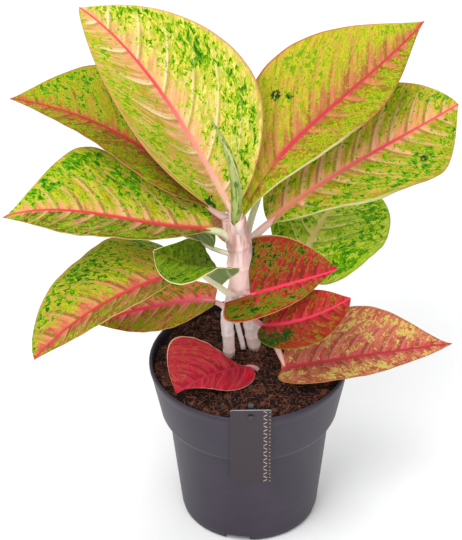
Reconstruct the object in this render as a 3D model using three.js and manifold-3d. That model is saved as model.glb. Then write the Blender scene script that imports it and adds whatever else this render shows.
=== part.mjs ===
// A potted chinese evergreen: a moulded nursery pot full of coarse potting mix, pale stems that
// stand in it, fifteen patterned leaves on their stalks, one furled new leaf and a plastic tag.
// Millimetres, +Z up. The origin is the middle of the pot's base, on the surface that it stands on.
// -Y is the front, where the tag leans.

import * as THREE from "three";
import { mergeVertices } from "three/addons/utils/BufferGeometryUtils.js";
import Module from "manifold-3d";

const wasm = await Module();
wasm.setup();

// Driving dimensions of the pot and its soil
const GAP = 0.3;
const ROUND_SEGMENTS = 48;
const POT_HEIGHT = 128;
const RIM_RADIUS = 70;
const RIM_BAND = 3;
const COLLAR_FOOT_RADIUS = 62.3;
const COLLAR_FOOT_Z = 87.6;
const BODY_TOP_RADIUS = 56.8;
const BODY_TOP_Z = 82;
const BODY_FOOT_RADIUS = 48.8;
const BODY_FOOT_Z = 6;
const BASE_RADIUS = 46;
const POT_WALL = 1.6;
const NOTCH_WIDTH = 18;
const NOTCH_HEIGHT = 5;
const NOTCH_DEPTH = 14;
const NOTCH_TURN = -101;
const NOTCH_COUNT = 4;
const DRAIN_RADIUS = 4;
const SOIL_Z = 122;
const SOIL_HEAP = 1.6;
const SOIL_BUMP = 1.1;

// Driving dimensions of the leaves
const BLADE_THICKNESS = 0.9;
const RIB_DEPTH = 1.4;
const BLADE_ROWS = 11;
const BLADE_COLUMNS = [-1, -0.72, -0.4, -0.1, 0, 0.1, 0.4, 0.72, 1];
const TIP_HALF_WIDTH = 0.5;
const LOBE_PLACE = 0.1;
const STALK_SIDES = 8;
const STALK_STEPS = 7;
const STALK_INTO_BLADE = 9;
const BOWED_STALK_INTO_BLADE = 2.5;

// Driving dimensions of the tag
const TAG_WIDTH = 28;
const TAG_LENGTH = 78;
const TAG_THICKNESS = 0.8;
const TAG_CORNER = 1.2;
const TAG_X = 0.5;
const TAG_RISE = 15;
const TAG_HOLE_RADIUS = 1.5;
const TAG_HOLE_DROP = 6.5;
const HOOK_WIDTH = 3.6;
const HOOK_THICKNESS = 1.2;

const UP = new THREE.Vector3(0, 0, 1);
const point = (list) => new THREE.Vector3(...list);
const radians = THREE.MathUtils.degToRad;

// A geometry as a solid that can be joined and cut
function solid(geometry) {
  const plain = geometry.clone();
  plain.deleteAttribute("normal");
  plain.deleteAttribute("uv");
  const merged = mergeVertices(plain, 1e-4);
  return new wasm.Manifold(
    new wasm.Mesh({
      numProp: 3,
      vertProperties: merged.attributes.position.array,
      triVerts: new Uint32Array(merged.index.array),
    }),
  );
}

// A joined or cut solid as a geometry again
function geometryOf(made) {
  const mesh = made.getMesh();
  const geometry = new THREE.BufferGeometry();
  geometry.setAttribute("position", new THREE.BufferAttribute(mesh.vertProperties, 3));
  geometry.setIndex(new THREE.BufferAttribute(mesh.triVerts, 1));
  const flat = geometry.toNonIndexed();
  flat.computeVertexNormals();
  return flat;
}

// A solid turned about the Z axis from a profile of [radius, height] points
function turned(profile) {
  const points = profile.map(([radius, z]) => new THREE.Vector2(radius, z));
  return new THREE.LatheGeometry(points, ROUND_SEGMENTS).rotateX(Math.PI / 2);
}

// A closed skin over rings of points, each ring counterclockwise as seen from the last one.
// A ring is a top row and the same row back underneath, and both rows are split alike.
function loft(rings) {
  const size = rings[0].length;
  const half = size / 2;
  const positions = rings.flat().flatMap((p) => [p.x, p.y, p.z]);
  const faces = [];
  for (let k = 0; k + 1 < rings.length; k++) {
    for (let j = 0; j < size; j++) {
      const next = (j + 1) % size;
      const [a, b] = [k * size + j, k * size + next];
      const [c, d] = [b + size, a + size];
      if (j < half) faces.push(a, b, c, a, c, d);
      else faces.push(a, b, d, b, c, d);
    }
  }
  const last = (rings.length - 1) * size;
  for (let i = 0; i < half - 1; i++) {
    const [a, b, c, d] = [i, i + 1, size - 2 - i, size - 1 - i];
    faces.push(a, c, b, a, d, c);
    faces.push(last + a, last + b, last + c, last + a, last + c, last + d);
  }
  const geometry = new THREE.BufferGeometry();
  geometry.setAttribute("position", new THREE.Float32BufferAttribute(positions, 3));
  geometry.setIndex(faces);
  return geometry;
}

// A round stem along a curve, whose radius runs smoothly through the given values. extra makes it
// thicker and longer, for the hole that another piece leaves for it.
function stem(curve, radii, steps, sides = STALK_SIDES, extra = 0) {
  const frames = curve.computeFrenetFrames(steps, false);
  const radiusAt = new THREE.SplineCurve(radii.map((radius, i) => new THREE.Vector2(i, radius)));
  const rings = [];
  for (let k = 0; k <= steps; k++) {
    const past = k === 0 ? -extra : k === steps ? extra : 0;
    const centre = curve.getPointAt(k / steps).addScaledVector(frames.tangents[k], past);
    const radius = radiusAt.getPoint(k / steps).y + extra;
    const ring = [];
    for (let j = 0; j < sides; j++) {
      const turn = (2 * Math.PI * j) / sides;
      ring.push(
        centre
          .clone()
          .addScaledVector(frames.normals[k], radius * Math.cos(turn))
          .addScaledVector(frames.binormals[k], radius * Math.sin(turn)),
      );
    }
    rings.push(ring);
  }
  return solid(loft(rings));
}

// The pot: a thin wall with a collar, and a base with drainage notches moulded into its foot
const outerWall = [
  [BASE_RADIUS, 0],
  [BODY_FOOT_RADIUS - 1, 1.8],
  [BODY_FOOT_RADIUS, BODY_FOOT_Z],
  [BODY_TOP_RADIUS, BODY_TOP_Z],
  [BODY_TOP_RADIUS + 3.8, BODY_TOP_Z + 2],
  [COLLAR_FOOT_RADIUS, COLLAR_FOOT_Z],
  [RIM_RADIUS - 1.4, POT_HEIGHT - 8],
  [RIM_RADIUS, POT_HEIGHT - RIM_BAND],
  [RIM_RADIUS, POT_HEIGHT - 1],
  [RIM_RADIUS - 0.7, POT_HEIGHT],
];
const innerWall = [
  [RIM_RADIUS - 1.8, POT_HEIGHT],
  [RIM_RADIUS - 2.4, POT_HEIGHT - 1],
  [RIM_RADIUS - 3, POT_HEIGHT - 8],
  [COLLAR_FOOT_RADIUS - POT_WALL, COLLAR_FOOT_Z + 0.6],
  [BODY_TOP_RADIUS - POT_WALL + 3.2, BODY_TOP_Z + 3.6],
  [BODY_TOP_RADIUS - POT_WALL, BODY_TOP_Z + 1.4],
  [BODY_FOOT_RADIUS - POT_WALL, BODY_FOOT_Z],
  [BASE_RADIUS - 0.4, POT_WALL],
];

function notchBox(inset, grow) {
  const depth = NOTCH_DEPTH + 20;
  const box = new THREE.BoxGeometry(depth, NOTCH_WIDTH + 2 * grow, 2 * (NOTCH_HEIGHT + grow));
  return box.translate(BASE_RADIUS - inset + depth / 2, 0, 0);
}

function makePot() {
  const outside = solid(turned([[0, 0], ...outerWall, [0, POT_HEIGHT]]));
  let pot = solid(turned([[0, 0], ...outerWall, ...innerWall, [0, POT_WALL]]));
  for (let i = 0; i < NOTCH_COUNT; i++) {
    const turn = radians(NOTCH_TURN + (360 / NOTCH_COUNT) * i);
    const pocket = notchBox(NOTCH_DEPTH + POT_WALL, POT_WALL).rotateZ(turn);
    const notch = notchBox(NOTCH_DEPTH, 0).rotateZ(turn);
    const drain = new THREE.CylinderGeometry(DRAIN_RADIUS, DRAIN_RADIUS, 8, 12)
      .rotateX(Math.PI / 2)
      .translate(BASE_RADIUS - 0.6 * NOTCH_DEPTH, 0, NOTCH_HEIGHT)
      .rotateZ(turn);
    const above = new THREE.BoxGeometry(200, 200, 40).translate(0, 0, 20);
    const block = solid(pocket).intersect(outside).intersect(solid(above));
    pot = pot.add(block).subtract(solid(notch)).subtract(solid(drain));
  }
  return pot;
}

// The height of the soil's rough, slightly heaped surface
function soilHeight(x, y) {
  const heap = SOIL_HEAP * (1 - (x * x + y * y) / (RIM_RADIUS * RIM_RADIUS));
  const coarse = Math.sin(x / 7 + 1) * Math.cos(y / 6 + 0.5);
  const fine = 0.7 * Math.sin(x / 3.1 + y / 4.3);
  return SOIL_Z + heap + SOIL_BUMP * (coarse + fine);
}

function makeSoil(holes) {
  const side = innerWall
    .slice(2)
    .reverse()
    .slice(1)
    .map(([radius, z]) => [radius - GAP, z + GAP]);
  side[0] = [BODY_FOOT_RADIUS - POT_WALL - GAP, NOTCH_HEIGHT + POT_WALL + GAP];
  side[side.length - 1][1] = SOIL_Z - 1.5;
  const rings = [0.97, 0.84, 0.68, 0.52, 0.36, 0.18, 0].map((share) => [
    share * (RIM_RADIUS - 3 - GAP),
    SOIL_Z,
  ]);
  const geometry = turned([[0, side[0][1]], ...side, ...rings]);
  const position = geometry.attributes.position;
  for (let i = 0; i < position.count; i++) {
    if (position.getZ(i) < SOIL_Z - 0.5) continue;
    position.setZ(i, soilHeight(position.getX(i), position.getY(i)));
  }
  return solid(geometry).subtract(holes);
}

// The stems: two canes and a thin one between them, which stand in the soil and join in a column
const STEMS = [
  {
    path: [[-14, 9, 100], [-13.8, 9, 121], [-14.2, 9, 138], [-15, 8, 156], [-11, 6, 178], [-7, 5, 200]],
    radii: [3.8, 4, 4.2, 4.6, 4.6, 4.6],
  },
  {
    path: [[5, 18, 100], [4.4, 18, 120], [3, 16.5, 132], [0.8, 14, 151], [-1.5, 9, 170], [-3, 6, 186]],
    radii: [3.8, 4, 4.8, 5.2, 6, 6.6],
  },
  {
    path: [[-1, 15, 102], [-2, 14.5, 124], [-5, 13, 140], [-8, 11, 153], [-10, 8, 168]],
    radii: [1.9, 1.9, 1.9, 1.9, 2.4],
  },
  {
    path: [[-2, 7, 166], [-2.6, 6, 182], [-5.2, 5, 204], [-5.6, 5, 217], [-8.5, 5, 231], [-10, 6, 243]],
    radii: [7, 10, 9.6, 8.6, 8.6, 8.4],
  },
];
const STEM_STEPS = 10;
const STEM_SIDES = 10;

function makeStems(extra = 0) {
  const parts = STEMS.map(({ path, radii }) =>
    stem(new THREE.CatmullRomCurve3(path.map(point)), radii, STEM_STEPS, STEM_SIDES, extra),
  );
  return parts.reduce((joined, part) => joined.add(part));
}

// One side of a blade. half: its greatest width from the midrib; widest: where that is, as a share
// of the length from the base; base and tip: how round (0.4) or drawn out (1.6) its ends are;
// lift: how far it folds up from the midrib, in degrees, and curl: how much more at the margin;
// lobe: how far it reaches back past the stalk; wave: [height, count, start] of its margin; and
// round: how round the lobe is, from 0 to 1.
const side = (half, widest, base, tip, lift, curl, lobe = 0, wave = [0, 2, 0], round = 0) => ({
  half, widest, base, tip, lift, curl, lobe, wave, round,
});

// Each leaf: the midrib is a Bezier curve from the blade's base to its tip, and face is the way
// that the upper surface looks at the base and at the tip. Left and right are as seen from the
// stalk with the upper surface towards the eye. root is where the stalk leaves the stem or soil,
// and pull is the direction and length that it starts with. It comes to the blade in line with the
// midrib, or from the direction of bow where a leaf has one.
const LEAVES = [
  {
    name: "leaf_top_left",
    midrib: [[-12, 2, 253], [-30, 17, 283], [-65, 51, 345], [-112, 66, 373]],
    face: [[0.1, -0.74, 0.66], [0.15, -0.75, 0.65]],
    left: side(34, 0.53, 1.1, 0.8, 24, -15, 7, [1.5, 2, 0]),
    right: side(58, 0.47, 1.3, 1.2, 20, -15, 6, [1.5, 2, 0.3]),
    root: [-10, 5, 238], pull: [0, -1, 8], stalk: 3.6, colour: 0xb9c44a,
  },
  {
    name: "leaf_top_right",
    midrib: [[-6, -4, 247], [18, 52, 278], [80, 52, 315], [119, 66, 360]],
    face: [[-0.32, -0.61, 0.86], [-0.3, -0.7, 0.65]],
    left: side(52, 0.5, 1.3, 1.1, 20, -20, 0, [1.5, 2, 0.2]),
    right: side(30, 0.62, 1.5, 1.7, 25, -15, 10, [2, 2, 0.1]),
    root: [-6, 2, 232], pull: [0, -3, 8], stalk: 3.4, colour: 0xc8b04e,
  },
  {
    name: "leaf_right",
    midrib: [[14, 20, 229], [54, 36, 258], [103, 46, 278], [143, 50, 304]],
    face: [[-0.2, -0.5, 0.85], [-0.15, -0.6, 0.75]],
    left: side(46, 0.52, 0.6, 0.7, 15, -15, 0, [2, 2.5, 0]),
    right: side(38, 0.77, 1.1, 1.2, 18, -30, 4, [2.5, 3, 0.4]),
    root: [-4, 8, 216], pull: [5, 3, 4], stalk: 3.2, colour: 0xb4be48,
  },
  {
    name: "leaf_back",
    midrib: [[9, 46, 238], [16, 56, 247], [40, 78, 262], [64, 92, 274]],
    face: [[-0.2, -0.5, 0.85], [-0.2, -0.5, 0.85]],
    left: side(24, 0.5, 0.6, 1.1, 15, -15),
    right: side(24, 0.5, 0.6, 1.1, 15, -15),
    root: [-5, 9, 204], pull: [2, 8, 0], stalk: 2.8, colour: 0x5d8c36,
  },
  {
    name: "leaf_back_left",
    midrib: [[-25, 8, 249], [-62, 24, 289], [-103, 44, 304], [-161, 56, 308]],
    face: [[0.15, -0.35, 0.9], [0.1, -0.4, 0.9]],
    left: side(25, 0.3, 1.2, 1.1, 24, -10, 0, [1, 2, 0]),
    right: side(44, 0.61, 0.6, 1.3, 22, -20, 0, [1.5, 2.5, 0.5]),
    root: [-10, 8, 234], pull: [-3, 3, 7], stalk: 3.2, colour: 0xaab040,
  },
  {
    name: "leaf_left",
    midrib: [[-24, -3, 240], [-72, -13, 246], [-120, -13, 275], [-164, -18, 261]],
    face: [[0.1, -0.25, 0.95], [0.1, -0.3, 0.9]],
    left: side(27, 0.6, 1.3, 1.1, 22, -10, 4, [1, 2.5, 0]),
    right: side(54, 0.56, 0.4, 1.9, 15, -20, 9, [2, 3, 0.3]),
    root: [-8, 4, 222], pull: [-6, -2, 6], stalk: 3.2, colour: 0x97b43a,
  },
  {
    name: "leaf_low_left",
    midrib: [[-33, -6, 209], [-60, -28, 221], [-111, -38, 205], [-146, -46, 163]],
    face: [[-0.4, -0.4, 0.8], [-0.5, -0.5, 0.7]],
    left: side(17, 0.6, 1.4, 1.1, 22, -10, 0, [1, 2, 0]),
    right: side(50, 0.47, 0.5, 0.6, 10, -35, 0, [2, 2.5, 0.2]),
    root: [-8, 4, 196], pull: [-7, -3, 5], stalk: 2.8, colour: 0x93aa44,
  },
  {
    name: "leaf_pink_left",
    midrib: [[-23, 4, 175], [-43, 2, 179], [-79, 1, 170], [-111, -3, 161]],
    face: [[0, -0.4, 0.9], [0, -0.5, 0.85]],
    left: side(21, 0.53, 1.1, 1.4, 15, -10, 3, [1, 2, 0]),
    right: side(16, 0.5, 0.4, 1.1, 15, -10, 5, [1, 2, 0.5]),
    root: [-14, 8, 158], pull: [-2, -1, 6], stalk: 2.2, colour: 0xd8646a,
  },
  {
    name: "leaf_cupped",
    midrib: [[-29, -19, 212], [-38, -21, 220], [-50, -25, 231], [-64, -29, 241]],
    face: [[0, 1.2, 1], [0, -0.9, 1]],
    left: side(29, 0.6, 0.3, 0.5, 14, 12, 16, [1.6, 2.5, 0], 0.5),
    right: side(20, 0.42, 0.25, 0.6, 60, 4, 14, [1.2, 2.5, 0.3], 0.5),
    root: [-8, 0, 182], pull: [-6, -8, 4], stalk: 2.4, colour: 0x3c7a26,
  },
  {
    name: "leaf_folded",
    midrib: [[-24, 4, 219], [-31, 6, 222], [-42, 8, 226], [-52, 10, 230]],
    face: [[0, 0.2, 1], [0, 0.2, 1]],
    left: side(12, 0.3, 0.6, 1, 58, 10),
    right: side(12, 0.3, 0.6, 1, 54, 10),
    root: [-8, 5, 212], pull: [-4, -2, 3], stalk: 2, colour: 0x7c9a52,
  },
  {
    name: "leaf_back_right",
    midrib: [[34, 24, 188], [48, 48, 206], [60, 80, 202], [73, 104, 211]],
    face: [[0, -0.3, 0.95], [0, -0.1, 1]],
    left: side(34, 0.4, 0.6, 0.9, 10, -10, 0, [1.5, 2, 0]),
    right: side(46, 0.53, 0.6, 0.4, 0, -20, 12, [1.5, 2.5, 0.4]),
    root: [-2, 9, 176], pull: [8, 5, -2], stalk: 2.6, colour: 0x9fc04a,
  },
  {
    name: "leaf_red_right",
    midrib: [[1, -13, 192], [22, -18, 203], [44, -23, 213], [60, -26, 222]],
    face: [[-0.1, -0.7, 0.7], [0, -0.7, 0.7]],
    left: side(37, 0.18, 1, 1, 10, -10, 0, [1, 2, 0]),
    right: side(18, 0.27, 0.6, 1.7, 12, -10, 28, [1, 2, 0.5], 0.4),
    root: [-3, 5, 184], pull: [1, -6, 2], stalk: 2.4, colour: 0xa8324a,
  },
  {
    name: "leaf_red_small",
    midrib: [[9, -14, 167], [25, -28, 175], [52, -36, 192], [68, -38, 207]],
    face: [[0, -0.6, 0.8], [0, -0.6, 0.8]],
    left: side(17, 0.58, 0.6, 1.2, 12, -10, 4, [0.8, 2, 0]),
    right: side(20, 0.46, 0.6, 0.8, 10, -10, 5, [1, 2, 0.5]),
    root: [1, 13, 156], pull: [4, -8, 4], stalk: 2.2, colour: 0xb84a58,
  },
  {
    name: "leaf_dusky_right",
    midrib: [[22, -26, 138], [55, -29, 147], [103, -22, 150], [140, -16, 151]],
    face: [[0, -0.5, 0.85], [0, -0.6, 0.8]],
    left: side(35, 0.46, 0.6, 1.6, 20, -15, 0, [1.2, 2, 0]),
    right: side(16, 0.32, 0.6, 1, 15, -10, 9, [1.2, 2.5, 0.4]),
    root: [2, 15, 147], pull: [9, -12, 10], bow: [-2, 7, 14], stalk: 2.4, colour: 0xc88478,
  },
  {
    name: "leaf_red_front",
    midrib: [[1, -13, 131], [-16, -24, 137], [-35, -40, 143], [-50, -45, 132]],
    face: [[0.1, -0.6, 0.8], [0.2, -0.6, 0.8]],
    left: side(15, 0.28, 0.8, 2.2, 0, -10, 6, [1, 2, 0]),
    right: side(33, 0.72, 2.8, 1, 20, -20, 0, [1, 2, 0.5]),
    root: [7, -6, 112], pull: [0, 0, 8], stalk: 2, colour: 0xb3293c,
  },
];

// The share of the greatest width at a place t along the blade
function outline({ widest, base, tip }, t) {
  const away = t < widest ? (widest - t) / widest : (t - widest) / (1 - widest);
  return Math.max(1 - away * away, 0) ** (t < widest ? base : tip);
}

// One row of a blade across its midrib at t: its upper points and, under them, its lower ones
function bladeRow(leaf, curve, t) {
  const centre = curve.getPoint(t);
  const along = curve.getTangent(t);
  const face = point(leaf.face[0]).lerp(point(leaf.face[1]), t);
  const normal = face.addScaledVector(along, -face.dot(along)).normalize();
  const across = new THREE.Vector3().crossVectors(along, normal);
  const upper = [];
  const lower = [];
  for (const column of BLADE_COLUMNS) {
    const half = column < 0 ? leaf.left : leaf.right;
    const sign = column < 0 ? -1 : 1;
    const v = Math.abs(column);
    const lift = radians(half.lift);
    const curl = radians(half.curl) || 1e-6;
    const width = TIP_HALF_WIDTH + half.half * outline(half, t);
    const out = (width * (Math.sin(lift + curl * v) - Math.sin(lift))) / curl;
    const up = (width * (Math.cos(lift) - Math.cos(lift + curl * v))) / curl;
    const [height, count, start] = half.wave;
    const wave = height * v * v * Math.sin(2 * Math.PI * (count * t + start)) * Math.sin(Math.PI * t);
    const past = (1 - half.round) * (t / LOBE_PLACE);
    const back = half.lobe * v ** 1.5 * (half.round + past) * Math.exp(1 - half.round - past);
    const place = centre
      .clone()
      .addScaledVector(across, sign * out)
      .addScaledVector(normal, up + wave)
      .addScaledVector(along, -back);
    const angle = column === 0 ? 0 : lift + curl * v;
    const outward = normal
      .clone()
      .multiplyScalar(Math.cos(angle))
      .addScaledVector(across, -sign * Math.sin(angle));
    const rib = column === 0 ? RIB_DEPTH * (1 - t) : 0;
    upper.push(place.clone().addScaledVector(outward, BLADE_THICKNESS / 2));
    lower.unshift(place.clone().addScaledVector(outward, -BLADE_THICKNESS / 2 - rib));
  }
  return [...upper, ...lower];
}

function makeStalk(leaf, extra = 0) {
  const curve = new THREE.CubicBezierCurve3(...leaf.midrib.map(point));
  const start = curve.getPoint(0);
  const along = curve.getTangent(0);
  const root = point(leaf.root);
  const bow = leaf.bow ? point(leaf.bow) : along.clone().multiplyScalar(-0.4 * root.distanceTo(start));
  const into = leaf.bow ? BOWED_STALK_INTO_BLADE : STALK_INTO_BLADE;
  const bend = new THREE.CubicBezierCurve3(
    root,
    root.clone().add(point(leaf.pull)),
    start.clone().add(bow),
    start.clone().addScaledVector(along, into),
  );
  const radii = [leaf.stalk, leaf.stalk, leaf.stalk * 0.85, leaf.stalk * 0.45];
  return stem(bend, radii, STALK_STEPS, STALK_SIDES, extra);
}

function makeBlade(leaf) {
  const curve = new THREE.CubicBezierCurve3(...leaf.midrib.map(point));
  const rows = [];
  for (let k = 0; k <= BLADE_ROWS; k++) {
    const share = k / BLADE_ROWS;
    const t = share - (0.55 * Math.sin(2 * Math.PI * share)) / (2 * Math.PI);
    rows.push(bladeRow(leaf, curve, t));
  }
  return solid(loft(rows));
}

// The furled new leaf, a slim roll that bends over at its tip
const SPIKE_PATH = [
  [-9, 3, 236], [-8.4, -4, 253], [-8.2, -4, 272], [-10.8, -3, 291], [-14.7, -1, 304], [-19.2, 1, 314], [-23.4, 3, 322],
];
const SPIKE_RADII = [2.6, 3.4, 3.7, 3.2, 2.4, 1.5, 0.5];

function makeSpike(around) {
  const curve = new THREE.CatmullRomCurve3(SPIKE_PATH.map(point));
  return stem(curve, SPIKE_RADII, 12).subtract(around);
}

// The tag leans on the rim band's lower edge and on the foot of the collar
const TAG_REST_Z = POT_HEIGHT - RIM_BAND;
const TAG_LEAN = Math.atan2(RIM_RADIUS - COLLAR_FOOT_RADIUS, TAG_REST_Z - COLLAR_FOOT_Z);

function makeTag() {
  const [right, top] = [TAG_WIDTH / 2, TAG_RISE];
  const bottom = TAG_RISE - TAG_LENGTH;
  const shape = new THREE.Shape();
  shape.moveTo(-right + TAG_CORNER, bottom);
  shape.absarc(right - TAG_CORNER, bottom + TAG_CORNER, TAG_CORNER, -Math.PI / 2, 0, false);
  shape.absarc(right - TAG_CORNER, top - TAG_CORNER, TAG_CORNER, 0, Math.PI / 2, false);
  shape.absarc(-right + TAG_CORNER, top - TAG_CORNER, TAG_CORNER, Math.PI / 2, Math.PI, false);
  shape.absarc(-right + TAG_CORNER, bottom + TAG_CORNER, TAG_CORNER, Math.PI, 1.5 * Math.PI, false);
  const hole = new THREE.Path().absarc(0, top - TAG_HOLE_DROP, TAG_HOLE_RADIUS, 0, 2 * Math.PI, true);
  shape.holes.push(hole);
  return new THREE.ExtrudeGeometry(shape, {
    depth: TAG_THICKNESS,
    bevelEnabled: false,
    curveSegments: 4,
  });
}

// The tag's hook: a strap that lies behind the card, bends over the rim and goes down inside it to
// the soil, with a peg through the card's hole. Its middle line is given as [y, z] places.
const HOOK_LINE = [
  [-70.5, 131.5], [-70.7, 134], [-70.7, 138], [-69.9, 140.2], [-68.3, 140.6], [-66.9, 139.2],
  [-66, 135], [-65.6, 130], [-65.5, 125.8],
];
const PEG_RADIUS = 1.1;
const PEG_HEAD_RADIUS = 2;
const PEG_HEAD_THICKNESS = 0.8;

function makeHook() {
  const middle = new THREE.SplineCurve(HOOK_LINE.map(([y, z]) => new THREE.Vector2(y, z)));
  const outer = [];
  const inner = [];
  const steps = 16;
  for (let k = 0; k <= steps; k++) {
    const at = middle.getPoint(k / steps);
    const way = middle.getTangent(k / steps).multiplyScalar(HOOK_THICKNESS / 2);
    outer.push(new THREE.Vector2(at.x - way.y, at.y + way.x));
    inner.unshift(new THREE.Vector2(at.x + way.y, at.y - way.x));
  }
  const strap = new THREE.ExtrudeGeometry(new THREE.Shape([...outer, ...inner]), {
    depth: HOOK_WIDTH,
    bevelEnabled: false,
  });
  const sideways = new THREE.Matrix4().makeBasis(
    new THREE.Vector3(0, 1, 0),
    new THREE.Vector3(0, 0, 1),
    new THREE.Vector3(1, 0, 0),
  );
  strap.applyMatrix4(sideways).translate(TAG_X - HOOK_WIDTH / 2, 0, 0);
  const head = TAG_THICKNESS + GAP;
  const peg = new THREE.LatheGeometry(
    [
      new THREE.Vector2(0, -HOOK_THICKNESS),
      new THREE.Vector2(PEG_RADIUS, -HOOK_THICKNESS),
      new THREE.Vector2(PEG_RADIUS, head),
      new THREE.Vector2(PEG_HEAD_RADIUS, head),
      new THREE.Vector2(PEG_HEAD_RADIUS * 0.8, head + PEG_HEAD_THICKNESS),
      new THREE.Vector2(0, head + PEG_HEAD_THICKNESS),
    ],
    12,
  );
  peg.rotateX(Math.PI / 2).translate(0, TAG_RISE - TAG_HOLE_DROP, 0);
  peg.rotateX(Math.PI / 2 + TAG_LEAN).translate(TAG_X, -RIM_RADIUS - GAP, TAG_REST_Z);
  return solid(strap).add(solid(peg));
}

// The materials, one colour for each kind of piece
const paint = (colour, roughness) =>
  new THREE.MeshStandardMaterial({ color: colour, roughness, metalness: 0 });

const plant = new THREE.Group();

function place(name, geometry, material) {
  const mesh = new THREE.Mesh(geometry, material);
  mesh.name = name;
  plant.add(mesh);
  return mesh;
}

const stems = makeStems();
const stemsWithGap = makeStems(GAP);
place("pot", geometryOf(makePot()), paint(0x49454c, 0.55));
place("stems", geometryOf(stems), paint(0xe6cfc8, 0.5));
const named = (name) => LEAVES.find((leaf) => leaf.name === name);
for (const leaf of LEAVES) {
  const made = makeBlade(leaf).add(makeStalk(leaf)).subtract(stemsWithGap);
  place(leaf.name, geometryOf(made), paint(leaf.colour, 0.4));
}
const crown = stemsWithGap
  .add(makeStalk(named("leaf_top_left"), GAP))
  .add(makeStalk(named("leaf_top_right"), 3 * GAP));
place("leaf_spike", geometryOf(makeSpike(crown)), paint(0xb4c078, 0.45));
const inSoil = stemsWithGap.add(makeStalk(named("leaf_red_front"), GAP));
place("soil", geometryOf(makeSoil(inSoil)), paint(0x4a3226, 0.95));

const tag = place("tag", makeTag(), paint(0x3b383d, 0.4));
tag.position.set(TAG_X, -RIM_RADIUS - GAP, TAG_REST_Z);
tag.rotation.set(Math.PI / 2 + TAG_LEAN, 0, 0);

place("tag_hook", geometryOf(makeHook()), paint(0x2c2a2e, 0.5));

export default plant;
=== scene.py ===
import math
from collections import namedtuple

import bpy
import numpy as np
from mathutils import Matrix, Vector


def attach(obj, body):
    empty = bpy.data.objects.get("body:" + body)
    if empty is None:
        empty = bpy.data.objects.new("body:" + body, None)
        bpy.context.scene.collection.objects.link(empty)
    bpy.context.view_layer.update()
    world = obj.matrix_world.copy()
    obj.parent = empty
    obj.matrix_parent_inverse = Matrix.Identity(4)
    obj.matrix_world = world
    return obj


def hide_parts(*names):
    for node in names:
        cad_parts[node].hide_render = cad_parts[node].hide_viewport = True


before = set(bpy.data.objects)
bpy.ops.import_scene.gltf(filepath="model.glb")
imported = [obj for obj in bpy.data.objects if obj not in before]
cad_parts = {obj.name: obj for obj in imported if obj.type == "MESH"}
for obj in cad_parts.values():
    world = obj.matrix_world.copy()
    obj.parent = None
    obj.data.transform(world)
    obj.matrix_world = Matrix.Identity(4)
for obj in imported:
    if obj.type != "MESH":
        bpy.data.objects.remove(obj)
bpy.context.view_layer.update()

# A potted chinese evergreen. Sizes in the tables are millimetres in the part's own frame: +Z up,
# the origin under the middle of the pot, -Y towards the front where the tag leans. Patterns that
# follow a leaf are in millimetres too, and patterns on Object coordinates are in repeats per metre.
MM = 0.001
SEED = 7

POT_HEIGHT = 128.0
RIM_RADIUS = 70.0
RIM_BAND = 3.0
COLLAR_FOOT_RADIUS = 62.3
COLLAR_FOOT_Z = 87.6
BODY_TOP_RADIUS = 56.8
BODY_TOP_Z = 82.0
BODY_FOOT_RADIUS = 48.8
BODY_FOOT_Z = 6.0
BASE_RADIUS = 46.0
POT_WALL = 1.6
POT_CORNER = 0.5
POT_SHARP = math.radians(40)
NOTCH_WIDTH = 18.0
NOTCH_HEIGHT = 5.0
NOTCH_DEPTH = 14.0
NOTCH_TURN = -101.0
DRAIN_RADIUS = 4.0
SOIL_Z = 122.0
SOIL_FOOT_Z = 6.9
SOIL_EDGE_RADIUS = RIM_RADIUS - 3.3
SOIL_GAP = 0.3
SOIL_HEAP = 1.6
SOIL_BUMP = 1.1
SOIL_ROUGHNESS = 0.35

BLADE_THICKNESS = 0.8
LEAST_HALF_WIDTH = 0.25
RUFFLE = 0.35
RIB_DEPTH = 1.7
RIB_WIDTH = 1.5
GROOVE_DEPTH = 0.5
GROOVE_WIDTH = 1.6
VEIN_WANDER = 1.2
STALK_INTO_BLADE = 9.0
BOWED_STALK_INTO_BLADE = 2.5
LOBE_PLACE = 0.1
EVEN_VEINS = ((0.4, 0.9), (0.4, 0.9))

SPIKE_LENGTH = 87.0
RING_HEIGHT = 0.55
RING_WIDTH = 1.1
STEM_GRID = 0.7

TAG_WIDTH = 28.0
TAG_LENGTH = 78.0
TAG_THICKNESS = 0.8
TAG_CORNER = 1.4
TAG_BEVEL = 0.12
TAG_RISE = 15.0
TAG_X = 0.5
TAG_HOLE_DROP = 6.5
TAG_HOLE_RADIUS = 1.5
STRAP_WIDTH = 3.6
STRAP_THICKNESS = 1.2
TAG_REST_Z = POT_HEIGHT - RIM_BAND
TAG_LEAN = math.atan2(RIM_RADIUS - COLLAR_FOOT_RADIUS, TAG_REST_Z - COLLAR_FOOT_Z)

FLOOR_REACH = 4000.0
FLOOR_BACK = 6000.0
PICTURE_WIDTH = 462
PICTURE_HEIGHT = 540
SENSOR = 36.0


def linear(code):
    """An sRGB hex colour as the linear colour that a shader reads."""
    parts = [int(code[i:i + 2], 16) / 255 for i in (1, 3, 5)]
    return tuple(c / 12.92 if c <= 0.04045 else ((c + 0.055) / 1.055) ** 2.4 for c in parts) + (1.0,)


def add(tree, kind, inputs=None, output=0, **settings):
    """Adds a node with its settings and its values or links, and gives one of its outputs.

    A kind without the word Node in it is the rest of a shader node's name. Inputs are numbered where
    their names repeat: Map Range turns 1 to 2 into 3 to 4, and Mix blends the colours 6 and 7 by 0."""
    node = tree.nodes.new(kind if "Node" in kind else "ShaderNode" + kind)
    for name, value in settings.items():
        setattr(node, name, value)
    for key, value in (inputs or {}).items():
        if isinstance(value, bpy.types.NodeSocket):
            tree.links.new(value, node.inputs[key])
        else:
            node.inputs[key].default_value = value
    return node.outputs[output] if node.outputs else node


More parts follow.
